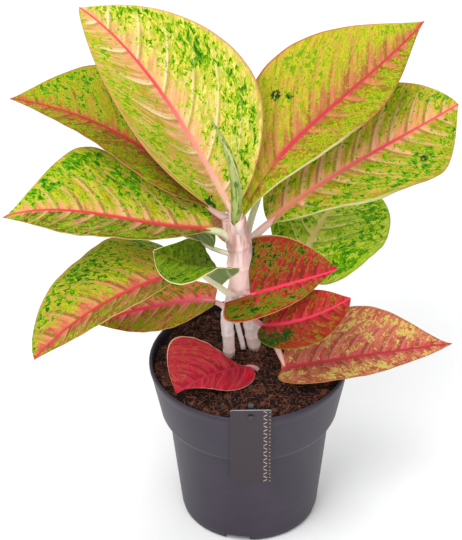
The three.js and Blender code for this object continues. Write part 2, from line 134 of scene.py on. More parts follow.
def new_material(name):
    material = bpy.data.materials.new(name)
    material.use_nodes = True
    material.node_tree.nodes.clear()
    return material, material.node_tree


def new_tree(name, sockets):
    """A Geometry Nodes tree with named inputs after its geometry, and the sockets that give them."""
    tree = bpy.data.node_groups.new(name, "GeometryNodeTree")
    tree.interface.new_socket("Geometry", in_out="OUTPUT", socket_type="NodeSocketGeometry")
    for socket, kind in {"Geometry": "Geometry", **sockets}.items():
        tree.interface.new_socket(socket, in_out="INPUT", socket_type="NodeSocket" + kind)
    return tree, add(tree, "NodeGroupInput").node.outputs


def end_tree(tree, made, material):
    """Ends a tree with real copies in place of instances, all of one material."""
    made = add(tree, "GeometryNodeRealizeInstances", {"Geometry": made})
    made = add(tree, "GeometryNodeSetMaterial", {"Geometry": made, "Material": material})
    add(tree, "NodeGroupOutput", {"Geometry": made})
    return tree


# Shapes


def bezier(points, t):
    a, b, c, d = (np.array(p, float) for p in points)
    t = np.asarray(t, float)[..., None]
    return (1 - t) ** 3 * a + 3 * (1 - t) ** 2 * t * b + 3 * (1 - t) * t ** 2 * c + t ** 3 * d


def bezier_way(points, t):
    a, b, c, d = (np.array(p, float) for p in points)
    t = np.asarray(t, float)[..., None]
    return 3 * (1 - t) ** 2 * (b - a) + 6 * (1 - t) * t * (c - b) + 3 * t ** 2 * (d - c)


def unit(vectors):
    return vectors / np.linalg.norm(vectors, axis=-1, keepdims=True)


def smooth(low, high, x):
    s = np.clip((x - low) / (high - low), 0, 1)
    return s * s * (3 - 2 * s)


def smooth_path(points, steps):
    """Points along a smooth curve that passes through the given ones, evenly in their order."""
    p = np.array(points, float)
    p = np.vstack([2 * p[0] - p[1], p, 2 * p[-1] - p[-2]])
    spans = len(p) - 3
    out = []
    for s in np.linspace(0, spans, steps + 1):
        i = min(int(s), spans - 1)
        u = s - i
        a, b, c, d = p[i:i + 4]
        out.append(0.5 * (2 * b + (c - a) * u + (2 * a - 5 * b + 4 * c - d) * u ** 2
                          + (3 * b - a - 3 * c + d) * u ** 3))
    return np.array(out)


def tube(path, radii, sides):
    """Points and faces of a closed tube. radii holds one radius, or one for each side, per step."""
    path = np.asarray(path, float)
    ways = unit(np.gradient(path, axis=0))
    across = np.cross(ways[0], [0.3, 1.0, 0.1])
    rings = []
    radii = np.asarray(radii, float)
    radii = radii if radii.ndim == 2 else np.repeat(radii[:, None], sides, axis=1)
    angle = np.arange(sides) * 2 * np.pi / sides
    for centre, way, radius in zip(path, ways, radii):
        across = unit(across - across.dot(way) * way)
        other = np.cross(way, across)
        rings.append(centre + radius[:, None] * (np.cos(angle)[:, None] * across
                                                 + np.sin(angle)[:, None] * other))
    points = np.vstack([*rings, path[:1], path[-1:]])
    faces = []
    for k in range(len(path) - 1):
        for j in range(sides):
            n = (j + 1) % sides
            faces.append((k * sides + j, k * sides + n, (k + 1) * sides + n, (k + 1) * sides + j))
    first, last = len(points) - 2, len(points) - 1
    end = (len(path) - 1) * sides
    for j in range(sides):
        n = (j + 1) % sides
        faces.append((first, n, j))
        faces.append((last, end + j, end + n))
    return points, faces


def new_piece(name, points, faces, materials, slots=None, fields=None, flat=False):
    """A mesh object in metres from points in millimetres, with its materials and attributes."""
    mesh = bpy.data.meshes.new(name)
    mesh.from_pydata([tuple(p) for p in np.asarray(points) * MM], [], [tuple(f) for f in faces])
    for material in materials:
        mesh.materials.append(material)
    if slots is not None:
        mesh.polygons.foreach_set("material_index", slots)
    for field, values in (fields or {}).items():
        mesh.attributes.new(field, "FLOAT", "POINT").data.foreach_set("value", values)
    if not flat:
        mesh.shade_smooth()
    mesh.update()
    piece = bpy.data.objects.new(name, mesh)
    bpy.context.scene.collection.objects.link(piece)
    return piece


def plain_mesh(piece):
    """Puts what a piece's modifiers make in its own mesh, and takes the modifiers off."""
    graph = bpy.context.evaluated_depsgraph_get()
    made = bpy.data.meshes.new_from_object(piece.evaluated_get(graph))
    piece.modifiers.clear()
    piece.data = made
    return piece


def grow(name, base, tree, values):
    """The plain mesh that a Geometry Nodes tree makes on a base mesh, as a piece."""
    piece = bpy.data.objects.new(name, base)
    bpy.context.scene.collection.objects.link(piece)
    modifier = piece.modifiers.new(name, "NODES")
    modifier.node_group = tree
    for item in tree.interface.items_tree:
        if item.in_out == "INPUT" and item.name in values:
            modifier[item.identifier] = values[item.name]
    return plain_mesh(piece)


# Leaves
#
# A side of a blade: its half width, where that is along the blade, how drawn out its base and its
# tip are, how far it folds up (lift) and curls on, in degrees and never 0 for the curl, how far it
# reaches back (lobe), its wave as height, count and start, and how round the lobe is.
Side = namedtuple("Side", "half widest base tip lift curl lobe wave round", defaults=(0, (0, 2, 0), 0))

# How a leaf is coloured. Pairs are for its left and right side, and midrib's for its base and tip.
# ground and second: the mottled ground, whose two sides differ partly in tone and partly as painted
# shade, darker on the half that tilts away from the light. blush: the pink or peach that spreads from
# the midrib, over reach millimetres. halo, green and deep: the flecks from their rim to their heart,
# with the amount of green and deep from 0 to 1.
# veins and bands: how strongly the side veins' lines and broad bands show. crease:
# the colour of the dark streaks along the veins and of the painted shade in the crease beside each
# vein. width: half the midrib's at its base, in millimetres. size: a fleck's length in millimetres.
# mottle: how much soft green there is. streaks: how strong the streaks along the veins are. ends: how
# many flecks at the base and at the tip. rib_from: where along the blade midrib and blush begin.
# patches: dark blotches as (along, across, radius) in millimetres. dusk: how far a side darkens
# at its base, as painted shade. rolled: how broad the pale edge is where the margin rolls over near
# the base, as a share of the side.
Look = namedtuple("Look", "ground second blush reach halo green greens deep deeps vein veins bands crease "
                  "midrib width margin size mottle streaks ends rib_from patches dusk rolled",
                  defaults=(3.5, 0.4, 0.3, (1.0, 1.0), 0.0, (), (0.0, 0.0), (0.0, 0.0)))

# Each leaf: its side veins as slant and arch for each side, their spacing, how high the blade
# swells between them (quilt), the four points of its midrib's curve, which way it faces at its base
# and tip, its two sides, and its stalk: its root in the stem, the pull that bends it there, the bow
# that bends it below the blade, and its radius.
LEAVES = [
    dict(name="leaf_top_left", slot="leaf_lime", veins=((0.1, 1.9), (0.75, 0.6)), spacing=26, quilt=1.4,
         midrib=[(-12, 2, 253), (-30, 17, 283), (-65, 51, 345), (-112, 66, 373)],
         face=[(0.1, -0.74, 0.66), (0.15, -0.75, 0.65)],
         left=Side(34, 0.53, 1.1, 0.8, 24, -15, 7, (1.5, 2, 0)),
         right=Side(58, 0.47, 1.3, 1.2, 20, -15, 6, (1.5, 2, 0.3)),
         root=(-10, 5, 238), pull=(0, -1, 8), stalk=3.6,
         look=Look(("#b09414", "#e2d068"), ("#c4964a", "#d6bc54"), "#e09e70", (26, 22), "#bec41c",
                   "#6c9a0a", (0.58, 0.86), "#205e08", (0.22, 0.72), "#f0d4a8", 0.8, 0.6, "#8c6a18",
                   ("#e4b49a", "#d84a54"), 2.0, "#c88e62", size=3.8, mottle=0.5, streaks=0.3,
                   patches=((20, -14, 7),), dusk=(0.36, 0.0))),
    dict(name="leaf_top_right", slot="leaf_lime", veins=((0.75, 0.5), (0.35, 0.9)), spacing=17, quilt=1.4,
         midrib=[(-6, -4, 247), (18, 52, 278), (80, 52, 315), (119, 66, 360)],
         face=[(-0.32, -0.61, 0.86), (-0.3, -0.7, 0.65)],
         left=Side(52, 0.5, 1.3, 1.1, 20, -20, 0, (1.5, 2, 0.2)),
         right=Side(30, 0.62, 1.5, 1.7, 25, -15, 10, (2, 2, 0.1)),
         root=(-6, 2, 232), pull=(0, -3, 8), stalk=3.4,
         look=Look(("#bcb41e", "#7c6c06"), ("#c8a438", "#94781c"), "#ac6040", (24, 13), "#b4bc16",
                   "#70940a", (0.62, 0.62), "#245e0c", (0.14, 0.3), "#c87854", 0.5, 0.85, "#74540a",
                   ("#c83c50", "#c03c44"), 2.2, "#b06c40", size=3.6, mottle=0.45, streaks=0.45,
                   patches=((80, -32, 4), (86, -25, 3)), rib_from=0.24,
                   rolled=(0.0, 0.075))),
    dict(name="leaf_right", slot="leaf_lime", veins=((0.6, 0.6), (0.45, 1.1)), spacing=14, quilt=1.3,
         midrib=[(14, 20, 229), (54, 36, 258), (103, 46, 278), (143, 50, 304)],
         face=[(-0.2, -0.5, 0.85), (-0.15, -0.6, 0.75)],
         left=Side(46, 0.52, 0.6, 0.7, 15, -15, 0, (2, 2.5, 0)),
         right=Side(38, 0.77, 1.1, 1.2, 18, -30, 4, (2.5, 3, 0.4)),
         root=(-4, 8, 216), pull=(5, 3, 4), stalk=3.2,
         look=Look(("#c4b01c", "#a0960c"), ("#c4a034", "#b08c24"), "#e68e66", (15, 9), "#a8b412",
                   "#588a08", (0.74, 0.84), "#205c08", (0.4, 0.6), "#e8a884", 0.7, 0.8, "#74520a",
                   ("#e0906e", "#dc4c5c"), 2.0, "#b8904c", size=4.0, mottle=0.5, streaks=0.45,
                   patches=((59, -25, 4), (92, -24, 3), (114, 23, 3)), rolled=(0.0, 0.07))),
    dict(name="leaf_back", slot="leaf_green", veins=EVEN_VEINS, spacing=10, quilt=0.5,
         midrib=[(9, 46, 238), (16, 56, 247), (40, 78, 262), (64, 92, 274)],
         face=[(-0.2, -0.5, 0.85), (-0.2, -0.5, 0.85)],
         left=Side(24, 0.5, 0.6, 1.1, 15, -15),
         right=Side(24, 0.5, 0.6, 1.1, 15, -15),
         root=(-5, 9, 204), pull=(2, 8, 0), stalk=2.8,
         look=Look(("#748f14", "#748f14"), ("#9cac3c", "#9cac3c"), "#b4a850", (6, 6), "#98b020", "#4a8410",
                   (0.6, 0.6), "#225a0c", (0.4, 0.4), "#bdbd6c", 0.6, 0.2, "#52601a",
                   ("#c6bc84", "#b67860"), 1.5, "#bcbf84")),
    dict(name="leaf_back_left", slot="leaf_lime", veins=EVEN_VEINS, spacing=15, quilt=1.0,
         midrib=[(-25, 8, 249), (-62, 24, 289), (-103, 44, 304), (-161, 56, 308)],
         face=[(0.15, -0.35, 0.9), (0.1, -0.4, 0.9)],
         left=Side(25, 0.3, 1.2, 1.1, 24, -10, 0, (1, 2, 0)),
         right=Side(44, 0.61, 0.6, 1.3, 22, -20, 0, (1.5, 2.5, 0.5)),
         root=(-10, 8, 234), pull=(-3, 3, 7), stalk=3.2,
         look=Look(("#925a14", "#a09c08"), ("#6e5010", "#a48c20"), "#b05a34", (14, 9), "#a4b00a",
                   "#568a08", (0.5, 0.82), "#225c06", (0.2, 0.75), "#bc7c48", 0.35, 0.3, "#6c400a",
                   ("#bc3c38", "#b03c34"), 1.6, "#b87450", size=3.8, mottle=0.5, streaks=0.35,
                   dusk=(0.24, 0.0))),
    dict(name="leaf_left", slot="leaf_green", veins=((0.4, 0.9), (0.35, 0.9)), spacing=16, quilt=1.7,
         midrib=[(-24, -3, 240), (-72, -13, 246), (-120, -13, 275), (-164, -18, 261)],
         face=[(0.1, -0.25, 0.95), (0.1, -0.3, 0.9)],
         left=Side(27, 0.6, 1.3, 1.1, 22, -10, 4, (1, 2.5, 0)),
         right=Side(54, 0.56, 0.4, 1.9, 15, -20, 9, (2, 3, 0.3)),
         root=(-8, 4, 222), pull=(-6, -2, 6), stalk=3.2,
         look=Look(("#5e4806", "#b8b010"), ("#6c6010", "#b8a42c"), "#d88c60", (4, 12), "#b0bc10",
                   "#549208", (0.6, 0.92), "#1e5c08", (0.25, 0.72), "#eaaa7c", 0.7, 0.85, "#5e3a08",
                   ("#c44840", "#cc4044"), 1.9, "#bca458", size=4.2, mottle=0.5, streaks=0.45,
                   dusk=(0.5, 0.0))),
    dict(name="leaf_low_left", slot="leaf_green", veins=((0.4, 0.9), (0.45, 0.8)), spacing=18, quilt=1.1,
         midrib=[(-33, -6, 209), (-60, -28, 221), (-111, -38, 205), (-146, -46, 163)],
         face=[(-0.4, -0.4, 0.8), (-0.5, -0.5, 0.7)],
         left=Side(17, 0.6, 1.4, 1.1, 22, -10, 0, (1, 2, 0)),
         right=Side(50, 0.47, 0.5, 0.6, 10, -35, 0, (2, 2.5, 0.2)),
         root=(-8, 4, 196), pull=(-7, -3, 5), stalk=2.8,
         look=Look(("#946024", "#bcb020"), ("#a46a38", "#c09c40"), "#cc5450", (12, 15), "#bac420",
                   "#569008", (0.48, 0.82), "#1a5808", (0.35, 0.66), "#dc9468", 0.7, 0.6, "#743c14",
                   ("#dc4a56", "#cc443e"), 1.7, "#c8ac68", size=4.0, mottle=0.35, streaks=0.4,
                   dusk=(0.4, 0.0))),
    dict(name="leaf_pink_left", slot="leaf_pink", veins=EVEN_VEINS, spacing=11, quilt=0.5,
         midrib=[(-23, 4, 175), (-43, 2, 179), (-79, 1, 170), (-111, -3, 161)],
         face=[(0, -0.4, 0.9), (0, -0.5, 0.85)],
         left=Side(21, 0.53, 1.1, 1.4, 15, -10, 3, (1, 2, 0)),
         right=Side(16, 0.5, 0.4, 1.1, 15, -10, 5, (1, 2, 0.5)),
         root=(-14, 8, 158), pull=(-2, -1, 6), stalk=2.2,
         # its right side's ground, second and blush are pushed to near full brightness as painted light,
         # against the shade it lies in under the leaves above
         look=Look(("#98501c", "#ff6c62"), ("#84481c", "#ff7c6c"), "#ff6074", (6, 9), "#b49a20", "#808a10",
                   (0.85, 0.78), "#4c660c", (0.45, 0.35), "#ff9c96", 0.5, 0.3, "#8a3418",
                   ("#f8748c", "#f04860"), 1.8, "#b09838", size=3.4, mottle=0.1, streaks=0.4)),
    dict(name="leaf_cupped", slot="leaf_green", veins=EVEN_VEINS, spacing=9, quilt=0.4,
         midrib=[(-29, -19, 212), (-38, -21, 220), (-50, -25, 231), (-64, -29, 241)],
         face=[(0, 1.2, 1), (0, -0.9, 1)],
         left=Side(29, 0.6, 0.3, 0.5, 14, 12, 16, (1.6, 2.5, 0), 0.5),
         right=Side(20, 0.42, 0.25, 0.6, 60, 4, 14, (1.2, 2.5, 0.3), 0.5),
         root=(-8, 0, 182), pull=(-6, -8, 4), stalk=2.4,
         look=Look(("#4c6808", "#446208"), ("#6c8410", "#6c8410"), "#827c20", (3, 3), "#829c12", "#306006",
                   (0.75, 0.75), "#143e06", (0.65, 0.65), "#90a030", 0.35, 0.15, "#38480a",
                   ("#98963c", "#808c26"), 0.7, "#e6d29c", size=3.8, mottle=0.55)),
    dict(name="leaf_folded", slot="leaf_green", veins=EVEN_VEINS, spacing=8, quilt=0.3,
         midrib=[(-24, 4, 219), (-31, 6, 222), (-42, 8, 226), (-52, 10, 230)],
         face=[(0, 0.2, 1), (0, 0.2, 1)],
         left=Side(12, 0.3, 0.6, 1, 58, 10),
         right=Side(12, 0.3, 0.6, 1, 54, 10),
         root=(-8, 5, 212), pull=(-4, -2, 3), stalk=2.0,
         look=Look(("#5c7820", "#5c7820"), ("#74902c", "#74902c"), "#989c44", (3, 3), "#84a024", "#427414",
                   (0.5, 0.5), "#28580e", (0.3, 0.3), "#a0ac5c", 0.3, 0.1, "#465618",
                   ("#ecdcd2", "#dcd2b8"), 1.3, "#dcdaa8", size=3.2, mottle=0.4)),
    dict(name="leaf_back_right", slot="leaf_green", veins=EVEN_VEINS, spacing=13, quilt=0.6,
         midrib=[(34, 24, 188), (48, 48, 206), (60, 80, 202), (73, 104, 211)],
         face=[(0, -0.3, 0.95), (0, -0.1, 1)],
         left=Side(34, 0.4, 0.6, 0.9, 10, -10, 0, (1.5, 2, 0)),
         right=Side(46, 0.53, 0.6, 0.4, 0, -20, 12, (1.5, 2.5, 0.4)),
         root=(-2, 9, 176), pull=(8, 5, -2), stalk=2.6,
         look=Look(("#a0ba10", "#94b00c"), ("#bcca40", "#bcca40"), "#c8c656", (7, 7), "#aec60e", "#4c8c06",
                   (0.88, 0.88), "#1c6006", (0.6, 0.6), "#dcd478", 0.6, 0.5, "#5c7c0a",
                   ("#d8c084", "#d0c06c"), 2.0, "#94b020", size=3.8, mottle=0.5, streaks=0.5)),
    dict(name="leaf_red_right", slot="leaf_red", veins=EVEN_VEINS, spacing=10, quilt=0.5,
         midrib=[(1, -13, 192), (22, -18, 203), (44, -23, 213), (60, -26, 222)],
         face=[(-0.1, -0.7, 0.7), (0, -0.7, 0.7)],
         left=Side(37, 0.18, 1, 1, 10, -10, 0, (1, 2, 0)),
         right=Side(18, 0.27, 0.6, 1.7, 12, -10, 28, (1, 2, 0.5), 0.4),
         root=(-3, 5, 184), pull=(1, -6, 2), stalk=2.4,
         look=Look(("#98181e", "#a01c1a"), ("#86280e", "#86280e"), "#ac1c2c", (7, 7), "#7c740c", "#5c740c",
                   (0.57, 0.68), "#0f3606", (0.7, 0.55), "#cc3848", 0.5, 0.15, "#5c1414",
                   ("#d6384e", "#da4056"), 1.0, "#bc9860", size=3.4, mottle=0.08, streaks=0.3,
                   ends=(1.4, 0.75), dusk=(0.2, 0.2))),
    dict(name="leaf_red_small", slot="leaf_red", veins=EVEN_VEINS, spacing=9, quilt=0.4,
         midrib=[(9, -14, 167), (25, -28, 175), (52, -36, 192), (68, -38, 207)],
         face=[(0, -0.6, 0.8), (0, -0.6, 0.8)],
         left=Side(17, 0.58, 0.6, 1.2, 12, -10, 4, (0.8, 2, 0)),
         right=Side(20, 0.46, 0.6, 0.8, 10, -10, 5, (1, 2, 0.5)),
         root=(1, 13, 156), pull=(4, -8, 4), stalk=2.2,
         look=Look(("#b41c24", "#881810"), ("#982818", "#982818"), "#bc2034", (6, 6), "#8c6210", "#76720c",
                   (0.48, 0.32), "#22400a", (0.15, 0.25), "#d03c4e", 0.5, 0.15, "#68160e",
                   ("#d83c50", "#d43e52"), 1.1, "#80781e", size=3.6, mottle=0.08, streaks=0.3,
                   patches=((4, 11, 8), (15, 12, 8), (25, 10, 6)), dusk=(0.0, 0.5))),
    dict(name="leaf_dusky_right", slot="leaf_pink", veins=EVEN_VEINS, spacing=12, quilt=0.5,
         midrib=[(22, -26, 138), (55, -29, 147), (103, -22, 150), (140, -16, 151)],
         face=[(0, -0.5, 0.85), (0, -0.6, 0.8)],
         left=Side(35, 0.46, 0.6, 1.6, 20, -15, 0, (1.2, 2, 0)),
         right=Side(16, 0.32, 0.6, 1, 15, -10, 9, (1.2, 2.5, 0.4)),
         root=(2, 15, 147), pull=(9, -12, 10), bow=(-2, 7, 14), stalk=2.4,
         look=Look(("#ae443e", "#a04434"), ("#b45c46", "#b45c46"), "#b4383e", (12, 8), "#b88050",
                   "#c6b058", (0.62, 0.6), "#8a8628", (0.25, 0.3), "#d07c6c", 0.4, 0.35, "#74301e",
                   ("#b03840", "#a8383c"), 1.2, "#a87c44", size=3.8, mottle=0.1, streaks=0.45,
                   dusk=(0.0, 0.4))),
    dict(name="leaf_red_front", slot="leaf_red", veins=EVEN_VEINS, spacing=10, quilt=0.4,
         midrib=[(1, -13, 131), (-16, -24, 137), (-35, -40, 143), (-50, -45, 132)],
         face=[(0.1, -0.6, 0.8), (0.2, -0.6, 0.8)],
         left=Side(15, 0.28, 0.8, 2.2, 0, -10, 6, (1, 2, 0)),
         right=Side(33, 0.72, 2.8, 1, 20, -20, 0, (1, 2, 0.5)),
         root=(7, -6, 112), pull=(0, 0, 8), stalk=2.0,
         look=Look(("#c41430", "#a4202e"), ("#a42a34", "#a42a34"), "#a01028", (8, 8), "#984428", "#8c5424",
                   (0.06, 0.34), "#706020", (0.0, 0.05), "#c43c4a", 0.35, 0.15, "#781420",
                   ("#983038", "#a82c3c"), 0.7, "#e6be9c", size=3.4, mottle=0.02, streaks=0.6)),
]


def outline(side, t):
    """How wide a side is along the blade, as a share of its half width."""
    near_base = t < side.widest
    away = np.where(near_base, (side.widest - t) / side.widest, (t - side.widest) / (1 - side.widest))
    return np.clip(1 - away ** 2, 0, 1) ** np.where(near_base, side.base, side.tip)


def blade(leaf, rows=110, columns=29):
    """Points, faces and fields of a blade: a thin sheet, quilted between its side veins."""
    # rows lie closer together at the base and tip, and columns closer at the midrib
    share = np.linspace(0, 1, rows + 1)
    t = share - 0.55 * np.sin(2 * np.pi * share) / (2 * np.pi)
    v = np.linspace(-1, 1, 2 * columns + 1)
    v = np.sign(v) * np.abs(v) ** 1.15
    centre = bezier(leaf["midrib"], t)
    way = unit(bezier_way(leaf["midrib"], t))
    length = np.linalg.norm(np.diff(centre, axis=0), axis=1).sum()
    face = np.outer(1 - t, leaf["face"][0]) + np.outer(t, leaf["face"][1])
    normal = unit(face - (face * way).sum(1, keepdims=True) * way)
    across = np.cross(way, normal)

    # the sheet: each row folds up and curls outwards from the midrib, waves, and sweeps back at the
    # base as a lobe
    sides = [leaf["left"] if x < 0 else leaf["right"] for x in v]
    sign = np.where(v < 0, -1.0, 1.0)
    reach = np.abs(v)
    width = np.stack([LEAST_HALF_WIDTH + side.half * outline(side, t) for side in sides], axis=1)
    lift = np.radians([side.lift for side in sides])
    curl = np.radians([side.curl for side in sides])
    out = width * (np.sin(lift + curl * reach) - np.sin(lift)) / curl
    up = width * (np.cos(lift) - np.cos(lift + curl * reach)) / curl
    height, count, start = np.array([side.wave for side in sides]).T
    swell = np.sin(np.pi * t)[:, None]
    wave = height * reach ** 2 * np.sin(2 * np.pi * (count * t[:, None] + start)) * swell
    ruffle = RUFFLE * reach ** 4 * np.sin(2 * np.pi * (9.3 * t[:, None] + 3.1 * sign)) * swell
    lobe = np.array([side.lobe for side in sides])
    rounded_lobe = np.array([side.round for side in sides])
    past = (1 - rounded_lobe) * (t / LOBE_PLACE)[:, None]
    back = lobe * reach ** 1.5 * (rounded_lobe + past) * np.exp(1 - rounded_lobe - past)
    sheet = (centre[:, None] + across[:, None] * (sign * out)[..., None]
             + normal[:, None] * (up + wave + ruffle)[..., None] - way[:, None] * back[..., None])
    angle = np.where(v == 0, 0, lift + curl * reach)
    outward = (normal[:, None] * np.cos(angle)[None, :, None]
               - across[:, None] * (sign * np.sin(angle))[None, :, None])

    # the side veins, the swelling between them, the midrib's groove on top and its rib below
    x = width * reach
    half_width = np.array([side.half for side in sides])
    along = np.repeat((t * length)[:, None], len(v), axis=1)
    slant, arch = (np.where(sign > 0, right, left) for left, right in zip(*leaf["veins"]))
    vein = along - slant * x - arch * x ** 2 / half_width + np.where(sign > 0, 0.35, 0) * leaf["spacing"]
    vein = vein + VEIN_WANDER * np.sin(along / 23 + 2 * sign) * reach
    bulge = np.abs(np.sin(np.pi * vein / leaf["spacing"])) ** 0.6 - 0.6
    calm = smooth(1, 9, x) * (1 - reach ** 5) * np.sin(np.pi * np.clip(t, 0, 1))[:, None] ** 0.5
    quilt = leaf["quilt"] * bulge * calm
    groove = GROOVE_DEPTH * (1 - t)[:, None] * np.exp(-((x / GROOVE_WIDTH) ** 2))
    rib = RIB_DEPTH * (1 - t)[:, None] ** 0.8 * np.exp(-((x / RIB_WIDTH) ** 2))
    thin = BLADE_THICKNESS / 2 * (1 - 0.5 * reach ** 3)
    top = sheet + outward * (quilt + thin - groove)[..., None]
    under = sheet + outward * (quilt - thin - rib)[..., None]

    n_rows, n = x.shape
    index = np.arange(n_rows * n).reshape(n_rows, n)
    low = index + n_rows * n
    a, b, c, d = index[:-1, :-1], index[:-1, 1:], index[1:, 1:], index[1:, :-1]
    upper = np.stack([a, b, c, d], -1).reshape(-1, 4)
    lower = np.stack([b, a, d, c], -1).reshape(-1, 4) + n_rows * n
    rim = [(low[k, 0], index[k, 0], index[k + 1, 0], low[k + 1, 0]) for k in range(rows)]
    rim += [(index[k, -1], low[k, -1], low[k + 1, -1], index[k + 1, -1]) for k in range(rows)]
    rim += [(index[-1, j], index[-1, j + 1], low[-1, j + 1], low[-1, j]) for j in range(n - 1)]
    rim += [(index[0, j], low[0, j], low[0, j + 1], index[0, j + 1]) for j in range(n - 1)]
    faces = [*map(tuple, upper), *map(tuple, lower), *rim]
    slots = [0] * len(upper) + [1] * len(lower) + [0] * len(rim)
    both = lambda field: np.tile(np.broadcast_to(field, x.shape).ravel(), 2)
    fields = dict(along_mm=both(along), across_mm=both(x * sign), share=both(t[:, None]),
                  edge=both(reach), vein_mm=both(vein))
    points = np.vstack([top.reshape(-1, 3), under.reshape(-1, 3)])
    return points, faces, slots, fields


def stalk(leaf, sides=18, steps=26):
    """The leaf's round stalk, from inside the stem to under the midrib, thinner towards the blade."""
    start = np.array(leaf["midrib"][0], float)
    way = unit(bezier_way(leaf["midrib"], 0.0))
    root = np.array(leaf["root"], float)
    bow = np.array(leaf["bow"], float) if "bow" in leaf else -0.4 * np.linalg.norm(root - start) * way
    into = BOWED_STALK_INTO_BLADE if "bow" in leaf else STALK_INTO_BLADE
    face = np.array(leaf["face"][0], float)
    sink = unit(face - face.dot(way) * way) * (0.3 * leaf["stalk"] + 0.7)
    bend = [root, root + np.array(leaf["pull"], float), start + bow, start + way * into - sink]
    u = np.linspace(0, 1, steps + 1)
    path = bezier(bend, u)
    radii = leaf["stalk"] * np.interp(u, [0, 0.4, 0.8, 1], [1.05, 0.95, 0.8, 0.3])
    points, faces = tube(path, radii, sides)
    share = np.concatenate([np.repeat(u, sides), [0, 1]])
    return points, faces, share


def leaf_skin(leaf, number):
    # Variegated leaf skin: a waxy living blade. To the eye: a lime ground with pink that bleeds out
    # of the midrib along the side veins, and green flecks, dark at heart, that crowd towards the
    # margin.
    material, tree = new_material("variegated leaf skin " + leaf["name"])
    look = leaf["look"]
    along, across, edge, vein, share = (
        add(tree, "Attribute", output=2, attribute_name=name)
        for name in ("along_mm", "across_mm", "edge", "vein_mm", "share"))
    off = add(tree, "Math", {0: across}, operation="ABSOLUTE")
    right = add(tree, "Math", {0: across, 1: 0.0}, operation="GREATER_THAN")
    seed = 11.0 * number
    lean = add(tree, "Math", {0: vein, 1: along}, operation="SUBTRACT")
    leant = add(tree, "Math", {0: lean, 1: 0.4, 2: along}, operation="MULTIPLY_ADD")
    drawn = add(tree, "Math", {0: across, 1: 0.25}, operation="MULTIPLY")
    fleck_place = add(tree, "CombineXYZ", {0: leant, 1: across, 2: seed})
    streak_place = add(tree, "CombineXYZ", {0: vein, 1: drawn, 2: seed})
    spot = add(tree, "CombineXYZ", {0: along, 1: across, 2: seed})

    # the ground, in clouds about 7 mm across, with soft green mottling about 4 mm across, and light
    # and dark streaks about 2.6 mm wide along the veins
    cloud = add(tree, "TexNoise", {"Vector": fleck_place, "Scale": 1 / 7, "Detail": 5.0, "Roughness": 0.7})
    cloudy = add(tree, "MapRange", {0: cloud, 1: 0.43, 2: 0.57}, interpolation_type="SMOOTHSTEP")
    mottle = add(tree, "TexNoise", {"Vector": fleck_place, "Scale": 1 / 4, "Detail": 5.0, "Roughness": 0.75})
    mottled = add(tree, "MapRange", {0: mottle, 1: 0.44, 2: 0.56, 4: look.mottle},
                  interpolation_type="SMOOTHSTEP")
    streaks = add(tree, "TexNoise",
                  {"Vector": streak_place, "Scale": 1 / 2.6, "Detail": 4.0, "Roughness": 0.6})
    light_streak = add(tree, "MapRange", {0: streaks, 1: 0.5, 2: 0.64, 4: look.streaks},
                       interpolation_type="SMOOTHSTEP")
    dark_streak = add(tree, "MapRange", {0: streaks, 1: 0.49, 2: 0.36, 4: look.streaks},
                      interpolation_type="SMOOTHSTEP")

    # the blush beside the midrib, in streaks about 5 mm wide along the veins
    reach = add(tree, "MapRange", {0: right, 3: look.reach[0], 4: look.reach[1]})
    near = add(tree, "Math", {0: off, 1: reach}, operation="DIVIDE")
    near = add(tree, "Math", {0: edge, 1: 0.6, 2: near}, operation="MULTIPLY_ADD")
    wash = add(tree, "TexNoise", {"Vector": streak_place, "Scale": 1 / 5, "Detail": 5.0, "Roughness": 0.65})
    spread = add(tree, "Math", {0: near, 1: -0.3, 2: wash}, operation="MULTIPLY_ADD")
    blush = add(tree, "MapRange", {0: spread, 1: 0.24, 2: 0.46, 4: 0.9}, interpolation_type="SMOOTHSTEP")
    rib_from = add(tree, "MapRange", {0: share, 1: look.rib_from - 0.04, 2: look.rib_from + 0.06})
    blush = add(tree, "Math", {0: blush, 1: rib_from}, operation="MULTIPLY")

    # the side veins: lines about 1.5 mm wide in bands about 5 mm wide, with painted shade in the crease
    # on one side of each, all fading out before the margin, and finer veins between them
    fade = add(tree, "MapRange", {0: edge, 1: 0.3, 2: 0.9, 3: 1.0, 4: 0.0}, interpolation_type="SMOOTHSTEP")
    patchy = add(tree, "MapRange", {0: wash, 1: 0.4, 2: 0.55, 3: 0.3, 4: 1.0})
    showing = add(tree, "Math", {0: fade, 1: patchy}, operation="MULTIPLY")
    line = add(tree, "Math", {0: vein, 1: leaf["spacing"] / 2}, operation="PINGPONG")
    shifted = add(tree, "Math", {0: vein, 1: 2.2}, operation="ADD")
    beside = add(tree, "Math", {0: shifted, 1: leaf["spacing"] / 2}, operation="PINGPONG")
    fine = add(tree, "Math", {0: vein, 1: leaf["spacing"] / 8}, operation="PINGPONG")
    line_near = add(tree, "MapRange", {0: line, 1: 0.1, 2: 1.3, 3: look.veins, 4: 0.0},
                    interpolation_type="SMOOTHSTEP")
    band_near = add(tree, "MapRange", {0: line, 1: 0.8, 2: 4.5, 3: look.bands, 4: 0.0},
                    interpolation_type="SMOOTHSTEP")
    # painted shade in the crease beside each side vein
    crease_shade_near = add(tree, "MapRange", {0: beside, 1: 0.2, 2: 2.4, 3: 0.65, 4: 0.0},
                      interpolation_type="SMOOTHSTEP")
    line_mask = add(tree, "Math", {0: line_near, 1: showing}, operation="MULTIPLY")
    band_mask = add(tree, "Math", {0: band_near, 1: showing}, operation="MULTIPLY")
    crease_shade_mask = add(tree, "Math", {0: crease_shade_near, 1: fade}, operation="MULTIPLY")
    fine_mask = add(tree, "MapRange", {0: fine, 1: 0.0, 2: 0.8, 3: 0.1, 4: 0.0})

